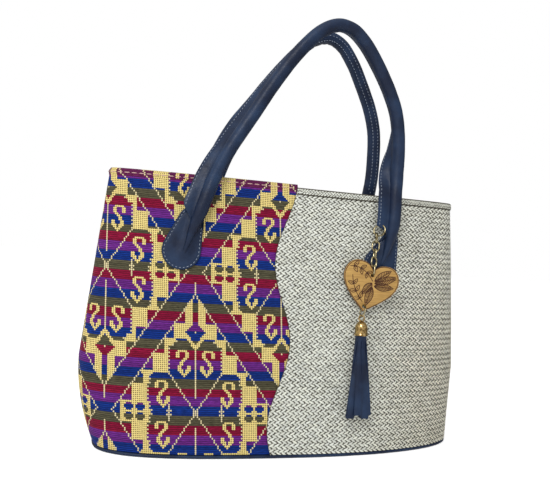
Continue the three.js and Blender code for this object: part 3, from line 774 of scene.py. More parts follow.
def makeStraw(half):
    frontEdge = half.edge(frontSeamX, back=False)
    backEdge = half.edge(backSeamX, back=True)
    under, outermost = makeUnderLayer(half, frontEdge, backEdge)
    bottom, top = straw["bottom"], straw["top"]
    hemAt = top - straw["hemDeep"]
    along, z, lean, size = strandSpots(hemAt)
    over, inside = straw["overEdge"], straw["edgeIn"]
    keep = (along > frontEdge(z) - over) & (along < backEdge(z) + over)
    keep &= z > np.where(size < 1, hemAt, bottom) + straw["footRoom"]
    along, z, lean, size = (part[keep] for part in (along, z, lean, size))
    onHem = size < 1
    count = len(along)

    def vary(kind, middle=0):
        return dice.uniform(middle - straw["uneven"][kind], middle + straw["uneven"][kind], count)

    along = along + vary("place") * size
    z = z + vary("place") * size
    angle = lean * (straw["lean"] + vary("lean"))
    long = straw["floatLong"] * vary("long", 1) * size
    wide = straw["floatWide"] * vary("wide", 1) * size
    baseOut = np.where(onHem, outermost + straw["thick"], straw["out"])
    x = half.point(along, z, baseOut)[:, 0]
    wide = wide * (1 - straw["drawnTight"] * smoothStep(x, *straw["tightBetween"]))
    cellsLong, cellsWide = straw["cells"]

    def placeFloats(which, column, row):
        a = column / cellsLong * 2 - 1
        b = row / cellsWide * 2 - 1
        da = a * long[which] / 2
        db = b * wide[which] / 2 * (1 - straw["slim"] * a**4)
        s = along[which] + da * np.cos(angle[which]) - db * np.sin(angle[which])
        h = z[which] + da * np.sin(angle[which]) + db * np.cos(angle[which])
        rise = (straw["rise"] * (1 - a**2) + straw["round"] * (1 - b**2)) * size[which] - straw["sunk"]
        h = np.clip(h, bottom + inside, top - inside)
        h = np.where(onHem[which], np.maximum(h, hemAt + inside), np.minimum(h, hemAt - inside))
        s = np.clip(s, frontEdge(h) + inside, backEdge(h) - inside)
        return half.point(s, h, baseOut[which] + rise)

    floats, faceFloat = makeRepeats("straw_strands", count, cellsLong, cellsWide, placeFloats)
    tones = np.array(hexColour(straw["tone"])) * dice.uniform(*straw["toneSpread"], count)[:, None]
    tones = tones * (1 + dice.uniform(0, 1, count)[:, None] * np.array(straw["warmth"]))
    # Painted shade with a warm tint, growing towards the lower right and less at the top
    less, low, high = straw["shadeAndTintLess"]
    shadeAndTint = smoothStep(x, *straw["shadeAndTintBetween"]) * (1 - less * smoothStep(z, low, high))
    tones = tones * (1 - shadeAndTint[:, None] * np.array(straw["shadeAndTint"]))
    paintFaces(floats.data, "strandTone", tones[faceFloat])
    smooth(floats, 80)
    finishPiece(floats, strandMaterial(), ["straw_panel"])
    return under, floats


strawUnder, strawStrands = makeStraw(WallHalf(strawSide))
print("stage: straw", len(strawStrands.data.polygons))

# Leather: two rolled handles, their patches and stitches, and the edge round the base

handle = {
    "tubeRadius": 6.4,
    "endRadius": 2.2,
    "taper": 45,
    "lift": 1.3,
    "gap": 0.3,
    "flangeWide": 11,
    "flangeLeast": 0.2,
    "flangeHalfThick": 1.2,
    "flangeStart": 34,
    "flangeGrows": 8,  # it comes out of the tube over this distance to both sides of its start
    "flangeCut": 1.5,
    "away": 31,
    "awayAtPeak": 27,
    "stationStep": 2.6,
    "around": 22,
    "fill": 0.9,  # rolled tight round a cord
    "stitchRow": 0.8,  # share of the flange's width
    "stitchLong": 2.2,
    "stitchPitch": 3.4,
    "stitchRadius": 0.29,
    "stitchRoom": (7, 4),  # no stitches this near to the flange's first and last end
}
# The flange's section from one face round its edge to the other: share of its width and of its half thickness
flangeReach = np.array([0.1, 0.3, 0.62, 0.9, 1.0, 0.965, 1.0, 0.9, 0.62, 0.3, 0.1])
flangeStand = np.array([-0.72, -0.95, -1.0, -0.95, -0.5, 0, 0.5, 0.95, 1.0, 0.95, 0.72])
# How a tube's end closes: steps past the end and share of the full section
endStep = np.array([2.0, 1.6, 0.9])
endScale = np.array([0.0, 0.5, 0.85])
# Creases where the tube is bent: pleats on the inner side and a fine unevenness all round. How far it is bent
# is one over the bend's radius.
crease = {
    "deep": 0.55,
    "bentFrom": 0.006,
    "bentFully": 0.02,
    "pitch": 8.5,
    "drift": (1.3, 9),  # how far the pleats stray from even spacing, and over what distance
    "uneven": (0.1, 0.07),
    "thinEnd": (3, 6),  # none below the first tube radius, all above the second
}
# How the flange lies along a handle, counted from the leg where it points away from the other leg:
# share of the handle's length, degrees from the outside of the arch to the bag's middle, share of the width
frontFlange = [
    (0, 0, 1), (0.07, 0, 1), (0.13, 22, 1), (0.2, 45, 1), (0.32, 58, 1), (0.4, 78, 1), (0.5, 88, 1),
    (0.74, 84, 1), (0.78, 106, 1), (0.82, 142, 1), (0.86, 178, 1), (1, 180, 1),
]
# On the back handle it is pressed flat on the tube from the bag's edge to the peak
backFlange = [
    (0, 0, 1), (0.08, 0, 0.8), (0.12, 10, 0), (0.15, 78, 0), (0.6, 90, 0), (0.7, 140, 0.8),
    (0.85, 180, 1), (1, 180, 1),
]
pressed = {
    "thick": 1.1,
    "reach": (42, 56),  # a layer round the tube, in degrees from its middle: full to, gone at
    "rows": (36, -3),
    "lies": 0.9,  # stitched as a pressed layer above this share, as a standing flange below the other
    "stands": 0.3,
}
leftLeg = [(-104, 180), (-98.5, 199), (-92.5, 217), (-87, 234), (-82, 249)]
rightLeg = [(96, 249), (96, 233), (94.8, 216), (91.5, 199), (86.5, 181)]
frontArch = [
    (-70.5, 275), (-50.7, 310), (-30.2, 346), (-9.5, 376.5), (10.5, 397.5), (26, 404.8), (40.5, 402.8),
    (53.5, 392.8), (69.6, 371.6), (83.5, 348.3), (92, 328), (96.5, 300), (97.2, 270),
]
backArch = [
    (-72, 277), (-57.5, 306.5), (-39, 333), (-18, 363), (5, 391), (21, 404.5), (36, 408.5),
    (49, 403.5), (62, 389), (76, 365), (88, 340), (94.5, 318), (96.8, 292), (96.9, 268),
]
leatherTones = {"deep": "#101c34", "light": "#213553"}
clothFace, strawFace = -1.3, 1.0  # the faces that the handles lie on, out from the nominal wall


def leatherMaterial():
    # Soft drum-dyed leather: fine pebbled grain, half-matt, a little lighter where it is stretched
    material, tree, shader = newMaterial("slate_blue_leather")
    spot = addNode(tree, "TexCoord").outputs["Object"]
    grain = addNode(tree, "TexVoronoi", {"Scale": 1 / (1.1 * mm), "Randomness": 1, "Vector": spot})
    patches = addNode(tree, "TexNoise", {"Scale": 1 / (22 * mm), "Detail": 4, "Vector": spot})
    fine = addNode(tree, "TexNoise", {"Scale": 1 / (2.5 * mm), "Detail": 3, "Vector": spot})
    creased = addNode(tree, "TexNoise", {"Scale": 1 / (9 * mm), "Detail": 3, "Vector": spot})
    spread = addNode(tree, "MapRange", {0: patches, 1: 0.35, 2: 0.7})
    deep, light = (rgba(leatherTones[name]) for name in ("deep", "light"))
    colour = addNode(tree, "Mix", {"data_type": "RGBA", 0: spread, 6: deep, 7: light}).outputs[2]
    gloss = addNode(tree, "MapRange", {0: fine, 1: 0.3, 2: 0.7, 3: 0.36, 4: 0.5})
    pebbles = {"Strength": 0.25, "Distance": 0.15 * mm, "Height": grain.outputs["Distance"]}
    bump = addNode(tree, "Bump", pebbles)
    folds = {"Strength": 0.5, "Distance": 1.2 * mm, "Height": creased, "Normal": bump}
    creases = addNode(tree, "Bump", folds)
    feed(tree, shader, {"Base Color": colour, "Roughness": gloss, "Normal": creases})
    feed(tree, shader, {"Specular IOR Level": 0.27})
    return material


leather = leatherMaterial()
paleThread = threadMaterial("pale_sewing_thread", "#98a2b2")


# A smooth curve through points, with knots spaced by the root of their distance
def smoothCurve(points, perSpan=40):
    p = np.array(points, float)
    p = np.concatenate([[2 * p[0] - p[1]], p, [2 * p[-1] - p[-2]]])
    t = np.linspace(0, 1, perSpan, endpoint=False)[:, None]
    made = []
    for k in range(len(p) - 3):
        a, b, c, d = p[k : k + 4]
        first, mid, last = (math.sqrt(np.linalg.norm(v)) for v in (b - a, c - b, d - c))
        out = ((b - a) / first - (c - a) / (first + mid) + (c - b) / mid) * mid
        into = ((c - b) / mid - (d - b) / (mid + last) + (d - c) / last) * mid
        bend = -3 * b + 3 * c - 2 * out - into
        settle = 2 * b - 2 * c + out + into
        made.append(b + out * t + bend * t**2 + settle * t**3)
    return np.concatenate(made + [p[-2:-1]])


def tubeRadiusAt(distance):
    return blend(handle["endRadius"], handle["tubeRadius"], smoothStep(distance, 0, handle["taper"]))


def legPoints(leg, side, wallOut):
    foot = min(leg, key=lambda p: p[1])
    made = []
    for x, z in leg:
        distance = math.hypot(x - foot[0], z - foot[1])
        lift = handle["lift"] * min(1, distance / handle["taper"])
        out = wallOut + handle["gap"] + lift + tubeRadiusAt(distance)
        made.append(facePoint(np.float64(x), np.float64(z), side, out))
    return made


def handleLine(side, arch):
    peak = max(z for x, z in arch)
    over = []
    for x, z in arch:
        share = (z - body["height"]) / (peak - body["height"])
        over.append((x, side * blend(handle["away"], handle["awayAtPeak"], share), z))
    line = smoothCurve([*legPoints(leftLeg, side, clothFace), *over, *legPoints(rightLeg, side, strawFace)])
    return line, lengthsAlong(line)


# Centres, directions and sizes at distances along a handle
def handleFrame(line, lengths, distance, side, flangeRows):
    total = lengths[-1]
    inside = np.clip(distance, 0, total)

    def near(step):
        return pointsAt(np.clip(inside + step, 0, total), lengths, line)

    centre = near(0)
    aimOver, bendOver = 1.5, 6  # distances to both sides over which direction and bend are measured
    ahead = unit(near(aimOver) - near(-aimOver))
    outward = unit(np.stack([-ahead[:, 2], 0 * inside, ahead[:, 0]], -1))
    fromStart = inside if side < 0 else total - inside
    shares, turns, widths = np.array(flangeRows, float).T
    turn = np.radians(np.interp(fromStart / total, shares, turns))
    flange = outward * np.cos(turn)[:, None] + np.array([0, -side, 0]) * np.sin(turn)[:, None]
    flange = unit(flange - ahead * (flange * ahead).sum(-1, keepdims=True))
    start, grows, cut = handle["flangeStart"], handle["flangeGrows"], handle["flangeCut"]
    grown = smoothStep(fromStart, start - grows, start + grows)
    kept = smoothStep(total - fromStart, start - cut, start + cut)
    standing = np.interp(fromStart / total, shares, widths)
    wide = np.maximum(handle["flangeLeast"], handle["flangeWide"] * np.minimum(grown, kept) * standing)
    radius = tubeRadiusAt(np.minimum(inside, total - inside))
    bend = (near(bendOver) + near(-bendOver) - 2 * centre) / bendOver**2
    return centre, ahead, flange, np.cross(ahead, flange), radius, wide, bend, 1 - standing


# How deep the tube is dented at each station and turn
def creaseDepth(distance, turns, bend, flange, across, radius):
    ruffle = dice.uniform(-1, 1, (len(distance), 4))
    ruffle = (ruffle + np.roll(ruffle, 1, 0) + np.roll(ruffle, -1, 0)) / 3
    spoke = flange[:, None, :] * np.cos(turns)[..., None] + across[:, None, :] * np.sin(turns)[..., None]
    spoke = unit(spoke)
    tiny = 1e-9  # keeps a straight stretch from dividing by nought
    facing = np.clip((spoke * unit(bend + tiny)[:, None, :]).sum(-1), 0, 1)
    stray, over = crease["drift"]
    pleat = 0.5 + 0.5 * np.sin(distance * 2 * pi / crease["pitch"] + stray * np.sin(distance / over))
    bent = smoothStep(np.linalg.norm(bend, axis=1), crease["bentFrom"], crease["bentFully"])
    dent = crease["deep"] * bent[:, None] * facing**1.5 * pleat[:, None] ** 3
    broad, fine = crease["uneven"]
    dent += broad * (ruffle[:, :1] * np.cos(turns) + ruffle[:, 1:2] * np.sin(turns))
    dent += fine * (ruffle[:, 2:3] * np.cos(2 * turns) + ruffle[:, 3:4] * np.sin(3 * turns))
    return dent * smoothStep(radius, *crease["thinEnd"])[:, None]


def makeTube(name, line, lengths, side, flangeRows):
    total = lengths[-1]
    even = np.linspace(0, total, int(total / handle["stationStep"]) + 1)
    distance = np.concatenate([0 * endStep, even, total + 0 * endStep])
    centre, ahead, flange, across, radius, wide, bend, lying = handleFrame(
        line, lengths, distance, side, flangeRows
    )
    centre = centre + ahead * np.concatenate([-endStep, 0 * even, endStep[::-1]])[:, None]
    half = np.minimum(handle["flangeHalfThick"], radius * 0.5)
    gape = np.arcsin(half / radius)
    turns = gape[:, None] + (2 * pi - 2 * gape)[:, None] * np.linspace(0, 1, handle["around"] + 1)
    dent = creaseDepth(distance, turns, bend, flange, across, radius)
    fromMiddle = np.degrees(np.abs((turns + pi) % (2 * pi) - pi))
    layer = pressed["thick"] * lying[:, None] * (1 - smoothStep(fromMiddle, *pressed["reach"]))
    swollen = radius[:, None] * (1 - dent / radius[:, None]) * (1 + layer / radius[:, None])
    foot = (radius * np.cos(gape) + pressed["thick"] * lying)[:, None]
    scale = np.concatenate([endScale, np.ones(len(even)), endScale[::-1]])[:, None]
    u = np.concatenate([swollen * np.cos(turns), foot + wide[:, None] * flangeReach], 1) * scale
    v = np.concatenate([swollen * np.sin(turns), half[:, None] * flangeStand], 1) * scale
    ring = u.shape[1]

    def place(column, row):
        k = row % ring
        up, aside = u[column, k][:, None], v[column, k][:, None]
        return centre[column] + flange[column] * up + across[column] * aside

    tube = layGrid(name, len(distance) - 1, ring, place)[0]
    closeUp(tube)
    smooth(tube, 48)
    return tube


patch = {
    "radius": 17.5,
    "neckRise": 29,
    "thick": 2.2,
    "middle": (0, 7.0),
    "steps": 72,
    "arcSteps": (60, 24),
    "tubeSwell": (1.5, 2.2),  # it rises this much over the tube, and how far to the sides
    "swellsAbove": 0.9,  # share of the thickness
    "tubeNear": 90,  # only this much of a handle from its ends is near the wall
    "stitchIn": 2.0,
    "stitchAt": 0.88,  # share of the thickness
    "stitchRoom": 1.2,  # no stitches nearer to the tube
    "left": {"at": (-106.5, 181.5), "lean": 0.25, "neckRadius": 11.5},  # its neck runs out under the flange
    "right": {"at": (85.5, 179.5), "lean": 0.37, "neckRadius": 8},
}
# From a patch's middle to its edge and back below: share of the way and of the thickness there
patchProfile = [
    (0, 1), (0.2, 1), (0.4, 1), (0.55, 1), (0.68, 1), (0.78, 1.0), (0.835, 0.97), (0.865, 0.87),
    (0.895, 0.86), (0.93, 0.95), (0.965, 0.9), (0.99, 0.72), (1, 0.4), (0.995, 0), (0.5, 0), (0, 0),
]


# A drop: a large and a small arc joined by straight lines, as points at equal distances
def patchOutline(spot, shrink, steps=0, pitch=0):
    radius, neck, rise = patch["radius"] - shrink, spot["neckRadius"] - shrink, patch["neckRise"]
    meet = math.acos((patch["radius"] - spot["neckRadius"]) / rise)
    big = np.linspace(meet, 2 * pi - meet, patch["arcSteps"][0])
    small = np.linspace(-meet, meet, patch["arcSteps"][1])
    points = np.concatenate(
        [
            np.stack([radius * np.sin(big), radius * np.cos(big)], -1),
            np.stack([neck * np.sin(small), rise + neck * np.cos(small)], -1),
        ]
    )
    points = np.concatenate([points, points[:1]])
    lengths = lengthsAlong(points)
    steps = steps or int(lengths[-1] / pitch)
    return pointsAt(np.linspace(0, lengths[-1], steps + 1), lengths, points)


def onPatch(flat, spot, side, out):
    lean = spot["lean"]
    x = spot["at"][0] + flat[..., 0] * math.cos(lean) + flat[..., 1] * math.sin(lean)
    z = spot["at"][1] - flat[..., 0] * math.sin(lean) + flat[..., 1] * math.cos(lean)
    return facePoint(x, z, side, out)


# How close points of the wall are to a handle's tube, in the wall's own plane
def tubeGap(points, line, lengths):
    ends = np.minimum(lengths, lengths[-1] - lengths)
    low = line[ends < patch["tubeNear"]]
    ends = ends[ends < patch["tubeNear"]]
    flat = np.linalg.norm(points[:, None, ::2] - low[None, :, ::2], axis=2)
    return flat.min(1) - tubeRadiusAt(ends[flat.argmin(1)])


def makePatch(name, spot, side, wallOut, line, lengths):
    steps = patch["steps"]
    edge = patchOutline(spot, 0, steps)
    middle = np.array(patch["middle"])
    reach, stand = np.array(patchProfile).T
    rises, spread = patch["tubeSwell"]

    def place(column, row):
        flat = middle + (edge[column % steps] - middle) * reach[row][:, None]
        low = onPatch(flat, spot, side, wallOut + handle["gap"])
        swell = rises * np.exp(-((np.maximum(tubeGap(low, line, lengths), 0) / spread) ** 2))
        swell = np.where(stand[row] > patch["swellsAbove"], swell, 0)
        rise = handle["gap"] + stand[row] * patch["thick"] + swell
        return onPatch(flat, spot, side, wallOut + rise)

    piece = layGrid(name, steps, len(patchProfile) - 1, place)[0]
    closeUp(piece)
    smooth(piece, 50)
    return piece


def patchStitches(spot, side, wallOut, line, lengths):
    flat = patchOutline(spot, patch["stitchIn"], pitch=handle["stitchPitch"])[:-1]
    spots = onPatch(flat, spot, side, wallOut + handle["gap"] + patch["thick"] * patch["stitchAt"])
    ahead = unit(np.roll(spots, -1, 0) - np.roll(spots, 1, 0))
    clear = tubeGap(spots, line, lengths) > patch["stitchRoom"]
    normal = np.array([0, side, 0]) + 0 * spots
    normal = unit(normal - ahead * (normal * ahead).sum(-1, keepdims=True))
    return spots[clear], ahead[clear], normal[clear]


# Stitches on both faces of the flange, or in rows on the layer where it is pressed flat
def flangeStitches(line, lengths, side, flangeRows):
    first, last = (handle["flangeStart"] + room for room in handle["stitchRoom"])
    along = np.arange(first, lengths[-1] - last, handle["stitchPitch"])
    centre, ahead, flange, across, radius, wide, _, lying = handleFrame(
        line, lengths, along, side, flangeRows
    )
    stands, lies = lying < pressed["stands"], lying > pressed["lies"]
    sewn = []
    seat = centre + flange * (radius + wide * handle["stitchRow"])[:, None]
    for face in (across, -across):
        sewn.append([part[stands] for part in (seat + face * handle["flangeHalfThick"], ahead, face)])
    for turn in np.radians(pressed["rows"]):
        spoke = flange * math.cos(turn) + across * math.sin(turn)
        seat = centre + spoke * (radius + pressed["thick"])[:, None]
        sewn.append([part[lies] for part in (seat, ahead, spoke)])
    return sewn


def makeHandle(word, side, arch, flangeRows):
    line, lengths = handleLine(side, arch)
    name = word + "_rolled_handle"
    parts = [makeTube(name, line, lengths, side, flangeRows)]
    sewn = flangeStitches(line, lengths, side, flangeRows)
    for end, wallOut in (("left", clothFace), ("right", strawFace)):
        parts.append(makePatch(f"{name}_{end}_patch", patch[end], side, wallOut, line, lengths))
        sewn.append(patchStitches(patch[end], side, wallOut, line, lengths))
    whole = finishPiece(joinAll(name, parts), leather, [word + "_handle"])
    spots, ahead, normal = (np.concatenate([s[k] for s in sewn]) for k in range(3))
    long, radius = handle["stitchLong"], handle["stitchRadius"]
    stitches = makeStitches(name + "_stitches", spots, ahead, normal, long, radius)
    finishPiece(stitches, paleThread)
    return whole


frontHandle = makeHandle("front", -1, frontArch, frontFlange)
backHandle = makeHandle("back", 1, backArch, backFlange)
print("stage: handles")

piping = {
    "radius": 1.5,
    "inset": -1,
    "steps": 260,
    "sides": 14,
    "fineSteps": 8001,
    "uneven": 0.03,
    "waves": (3.1, 7.7),
    "floor": 0.02,
}


def makePiping():
    steps, sides = piping["steps"], piping["sides"]
    turns = np.linspace(0, 2 * pi, piping["fineSteps"])
    fine = wallPoint(turns, 0.0 * turns, piping["inset"])
    lengths = lengthsAlong(fine)
    even = np.linspace(0, lengths[-1], steps + 1)[:-1]
    path = pointsAt(even, lengths, fine)
    ahead = unit(np.roll(path, -1, 0) - np.roll(path, 1, 0))
    outward = np.stack([ahead[:, 1], -ahead[:, 0], 0 * even], -1)
    short, long = piping["waves"]
    swell = 1 + piping["uneven"] * np.sin(even / short) * np.sin(even / long)

    def place(column, row):
        k = column % steps
        turn = 2 * pi * (row % sides) / sides
        point = path[k] + outward[k] * (piping["radius"] * swell[k] * np.cos(turn))[:, None]
        point[:, 2] = np.maximum(piping["radius"] * (1 + swell[k] * np.sin(turn)), piping["floor"])
        return point

    piece = layGrid("base_edge_piping", steps, sides, place)[0]
    closeUp(piece)
    smooth(piece, 60)
    return finishPiece(piece, leather, ["base_piping"])


makePiping()
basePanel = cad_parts["base_panel"]
basePanel.data.materials.clear()
basePanel.data.materials.append(leather)
print("stage: base")

# The charm: ring, chain, wooden heart, jump ring and capped tassel. Rings and links lie as the part's own do.

charmRing = {"radius": 5.6, "wire": 0.8}
jumpRing = {"radius": 5.9, "wire": 0.7}
chainLink = {"radius": 3.4, "wire": 0.85, "count": 5, "play": 0.25}
wireFaces = {"major_segments": 40, "minor_segments": 12}


def brassMaterial(name, dullAndShade, bright):
    # Plated brass: warm, in random patches between a worn dull tone, dark enough to be painted shade as well,
    # and a bright rubbed tone
    material, tree, shader = newMaterial(name)
    spot = addNode(tree, "TexCoord").outputs["Object"]
    stainAndShade = addNode(tree, "TexNoise", {"Scale": 1 / (2.2 * mm), "Detail": 4, "Vector": spot})
    spread = addNode(tree, "MapRange", {0: stainAndShade, 1: 0.35, 2: 0.65})
    # Random patches of wear and painted shade
    tones = {"data_type": "RGBA", 0: spread, 6: rgba(dullAndShade), 7: rgba(bright)}
    colour = addNode(tree, "Mix", tones).outputs[2]
    gloss = addNode(tree, "MapRange", {0: stainAndShade, 1: 0.35, 2: 0.65, 3: 0.26, 4: 0.1})
    feed(tree, shader, {"Base Color": colour, "Roughness": gloss, "Metallic": 1})
    return material


wornBrass = brassMaterial("antique_brass_plate", "#463c26", "#d2c49a")
polishedBrass = brassMaterial("polished_brass_plate", "#6e5226", "#dcbc80")


# Where a ring or link of the part lies: its middle, its longest way as X and the way through it as Z
def ringFrame(node):
    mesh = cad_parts[node].data
    spots = np.zeros(len(mesh.vertices) * 3)
    mesh.vertices.foreach_get("co", spots)
    spots = np.unique(spots.reshape(-1, 3), axis=0)
    through, _, longest = (Vector(way) for way in np.linalg.eigh(np.cov(spots.T))[1].T)
    turn = Matrix((longest, through.cross(longest), through)).transposed()
    return Matrix.Translation(Vector(spots.mean(0))) @ turn.to_4x4()


def makeWireRing(name, size, node, straight=0):
    clearSelection()
    radii = {"major_radius": size["radius"] * mm, "minor_radius": size["wire"] * mm}
    bpy.ops.mesh.primitive_torus_add(**radii, **wireFaces)
    piece = bpy.context.object
    nameIt(piece, name)
    for vertex in piece.data.vertices:
        vertex.co.x += math.copysign(straight / 2 * mm, vertex.co.x)
    placeMesh(piece, ringFrame(node))
    smooth(piece, 60)
    return finishPiece(piece, wornBrass, [node])


def makeChain():
    links = [f"chain_link_{number + 1}" for number in range(chainLink["count"])]
    step = (ringFrame(links[1]).translation - ringFrame(links[0]).translation).length / mm
    straight = step - 2 * chainLink["radius"] + 2 * chainLink["wire"] + chainLink["play"]
    for number, link in enumerate(links):
        makeWireRing(f"chain_{number + 1}", chainLink, link, straight)


makeWireRing("handle_ring", charmRing, "charm_ring")
makeWireRing("heart_jump_ring", jumpRing, "jump_ring")
makeChain()
print("stage: chain")

tasselCap = {
    "at": (65.067, -48.662, 124.692),
    "lean": 0.11,
    "radius": 6,
    "height": 11,
    "wall": 0.7,
    "ceiling": 7,  # height of the inside's top over the rim
    "rim": [(0.1, 0), (0.4, 0.3), (0.4, 1.3), (0.1, 1.7), (0, 2.1)],  # a bead: how far out, height
    "dome": 3,
    "domeFrom": 4.4,
    "domeSteps": 12,
    "around": 36,
    "loop": {"radius": 2.8, "wire": 0.65, "sunk": 0.39},
}
tassel = {
    "head": [(0, -5.2), (4.4, -5.2), (5, -4.6), (5, 6.6), (0, 6.6)],  # radius and height
    "headAround": 24,
    "strips": 7,
    "steps": 16,
    "wide": 7,
    "thick": 1.5,
    "length": 76,
    "shorter": 3,  # every second strip by this much
    "from": -0.6,
    "rootRadius": 3.4,
    "spread": 9.3,
    "deep": 3.6,
    "spreadPower": 1.3,
    "wave": 0.5,
    "waveTurns": 5,
    "twist": 0.12,
}
# Half of a strip's section, in shares of its width and thickness
stripEdge = np.array([(0.5, 0.3), (0.44, 0.5), (0, 0.5), (-0.44, 0.5), (-0.5, 0.3)])
capFrame = Matrix.Translation(Vector(tasselCap["at"]) * mm) @ Matrix.Rotation(-tasselCap["lean"], 4, "X")


# A turned shape from radius and height pairs, closed where the radius is nought
def turnProfile(name, profile, around):
    radius, height = np.array(profile, float).T

    def place(column, row):
        turn = 2 * pi * (column % around) / around
        return np.stack([radius[row] * np.cos(turn), radius[row] * np.sin(turn), height[row]], -1)

    piece = layGrid(name, around, len(profile) - 1, place)[0]
    closeUp(piece)
    return piece


def makeTasselCap():
    r, h, dome, domeFrom = (tasselCap[key] for key in ("radius", "height", "dome", "domeFrom"))
    inner, ceiling = r - tasselCap["wall"], tasselCap["ceiling"] - h
    profile = [(0, ceiling), (inner, ceiling), (inner, -h)]
    profile += [(r + out, up - h) for out, up in tasselCap["rim"]]
    # Above the straight wall it closes as a quarter of an ellipse
    for turn in np.linspace(0, pi / 2, tasselCap["domeSteps"]):
        profile.append((r * math.cos(turn), (dome + domeFrom) * math.sin(turn) - domeFrom))
    shell = turnProfile("tassel_cap_shell", profile, tasselCap["around"])
    loopSize = tasselCap["loop"]
    clearSelection()
    bpy.ops.mesh.primitive_torus_add(
        major_radius=loopSize["radius"] * mm,
        minor_radius=loopSize["wire"] * mm,
        major_segments=28,
        minor_segments=10,
        location=(0, 0, (dome + loopSize["radius"] - loopSize["sunk"]) * mm),
        rotation=(pi / 2, 0, 0),
    )
    loop = bpy.context.object
    bpy.ops.object.transform_apply(location=True, rotation=True, scale=True)
    whole = joinAll("brass_tassel_cap", [shell, loop])
    placeMesh(whole, capFrame)
    smooth(whole, 40)
    return finishPiece(whole, polishedBrass, ["tassel_cap"])


def makeStrip(number):
    steps = tassel["steps"]
    section = np.concatenate([stripEdge, -stripEdge]) * np.array([tassel["wide"], tassel["thick"]])
    turn = pi * (-1 + (2 * number + 1) / tassel["strips"])
    flat = math.copysign(pi / 2, math.sin(turn))
    long = tassel["length"] - tassel["shorter"] * (number % 2)
    wave = dice.uniform(-tassel["wave"], tassel["wave"])
    twist = dice.uniform(-tassel["twist"], tassel["twist"])

    def place(column, row):
        share = np.clip((column - 1) / (steps - 2), 0, 1)
        closed = np.where((column == 0) | (column == steps), 0.0, 1.0)
        opened = share ** tassel["spreadPower"]
        x = math.cos(turn) * blend(tassel["rootRadius"], tassel["spread"], opened)
        y = math.sin(turn) * blend(tassel["rootRadius"], tassel["deep"], opened)
        y = y + wave * np.sin(share * tassel["waveTurns"])
        z = blend(tassel["from"], -long, share)
        face = turn + (flat - turn) * share + twist * share
        a, b = (section[row % len(section)] * closed[:, None]).T
        x = x - np.sin(face) * a + np.cos(face) * b
        y = y + np.cos(face) * a + np.sin(face) * b
        return np.stack([x, y, z], -1)

    strip = layGrid(f"tassel_strip_{number}", steps, len(section), place)[0]
    closeUp(strip)
    return strip


# It hangs in the cap's mouth
def makeTassel():
    head = turnProfile("tassel_head", tassel["head"], tassel["headAround"])
    whole = joinAll("leather_tassel", [head, *(makeStrip(number) for number in range(tassel["strips"]))])
    placeMesh(whole, capFrame @ Matrix.Translation((0, 0, -tasselCap["height"] * mm)))
    smooth(whole, 45)
    return finishPiece(whole, leather, ["tassel"])


makeTasselCap()
makeTassel()
print("stage: tassel")

heart = {
    "at": (74, -45, 174.3),
    "turn": -0.12,
    "tilt": 0.19,
    "thick": 3,
    "bevel": 0.25,
    "edgeSteps": 20,
    "holes": ((-3.5, 1.6), (-33.7, 1.9)),  # height and radius
    "lineWide": 0.72,
    "lineEnds": 0.4,  # share of the width at a line's ends
    "lineDeep": 0.3,
    "lineProud": 0.02,
    "lineSteps": 40,
    "lineWeld": 0.001,
    "rimSteps": 12,
    "rim": (0.97, -0.4),  # the line round the edge: share of the outline's size, and how far it is lower
    "clip": 0.96,
}
heartTurn = Matrix.Rotation(heart["turn"], 4, "Z") @ Matrix.Rotation(heart["tilt"], 4, "Y")
heartFrame = Matrix.Translation(Vector(heart["at"]) * mm) @ heartTurn
# The right half from the notch to the tip, as Bezier curves
heartCurves = [
    ((0, 0), (2.5, 6), (8, 8.2), (13.8, 8.2)),
    ((13.8, 8.2), (22, 8.2), (27.4, 2), (27.4, -6.3)),
    ((27.4, -6.3), (27.4, -18), (14, -28), (0, -38.7)),
]
# Sprigs: where the stem starts, bends and ends, pairs of small leaves, their length
sprigs = [
    ((-23.5, 0), (-10, 4), (2, -9), 3, 7.0),
    ((-3, -30), (-15, -21), (-19, -7), 3, 7.5),
]
# On a sprig: the first pair's place and the stretch with pairs, what the last leaves lose in length, their
# turn from the stem, half width as a share of their length, and points by which the midrib stops short
sprigLeaf = {"first": 0.14, "stretch": 0.8, "less": 0.3, "turn": 0.9, "half": 0.24, "stopShort": 5}
# Broad leaves: where they start and end, half width, veins on each side
broadLeaves = [
    ((3.5, -8.5), (17, 5.5), 3.6, 9),
    ((4, -10.5), (25, 0.5), 3.7, 12),
    ((4.2, -13), (23.5, -10.5), 3.6, 11),
    ((1.5, -10.5), (-5.5, -23), 3.6, 8),
    ((2.5, -14), (1, -33), 3.8, 11),
]
vein = {"first": 0.05, "stretch": 0.8, "rise": 0.1, "reach": 0.95, "steps": 5}
leafShape = {"belly": 0.85, "steps": 14}  # a belly under 1 makes a leaf widest nearer to its start
stemSteps = 17


def bezier(corners, steps):
    t = np.linspace(0, 1, steps, endpoint=False)[:, None]
    a, b, c, d = (np.array(p, float) for p in corners)
    return a * (1 - t) ** 3 + 3 * b * t * (1 - t) ** 2 + 3 * c * t**2 * (1 - t) + d * t**3


# The heart's outline with its notch at the origin and its tip down, right half first
def heartOutline(steps):
    right = np.concatenate([bezier(curve, steps) for curve in heartCurves] + [heartCurves[-1][-1:]])
    left = right[::-1][1:-1] * np.array([-1, 1])
    return np.concatenate([right, left])


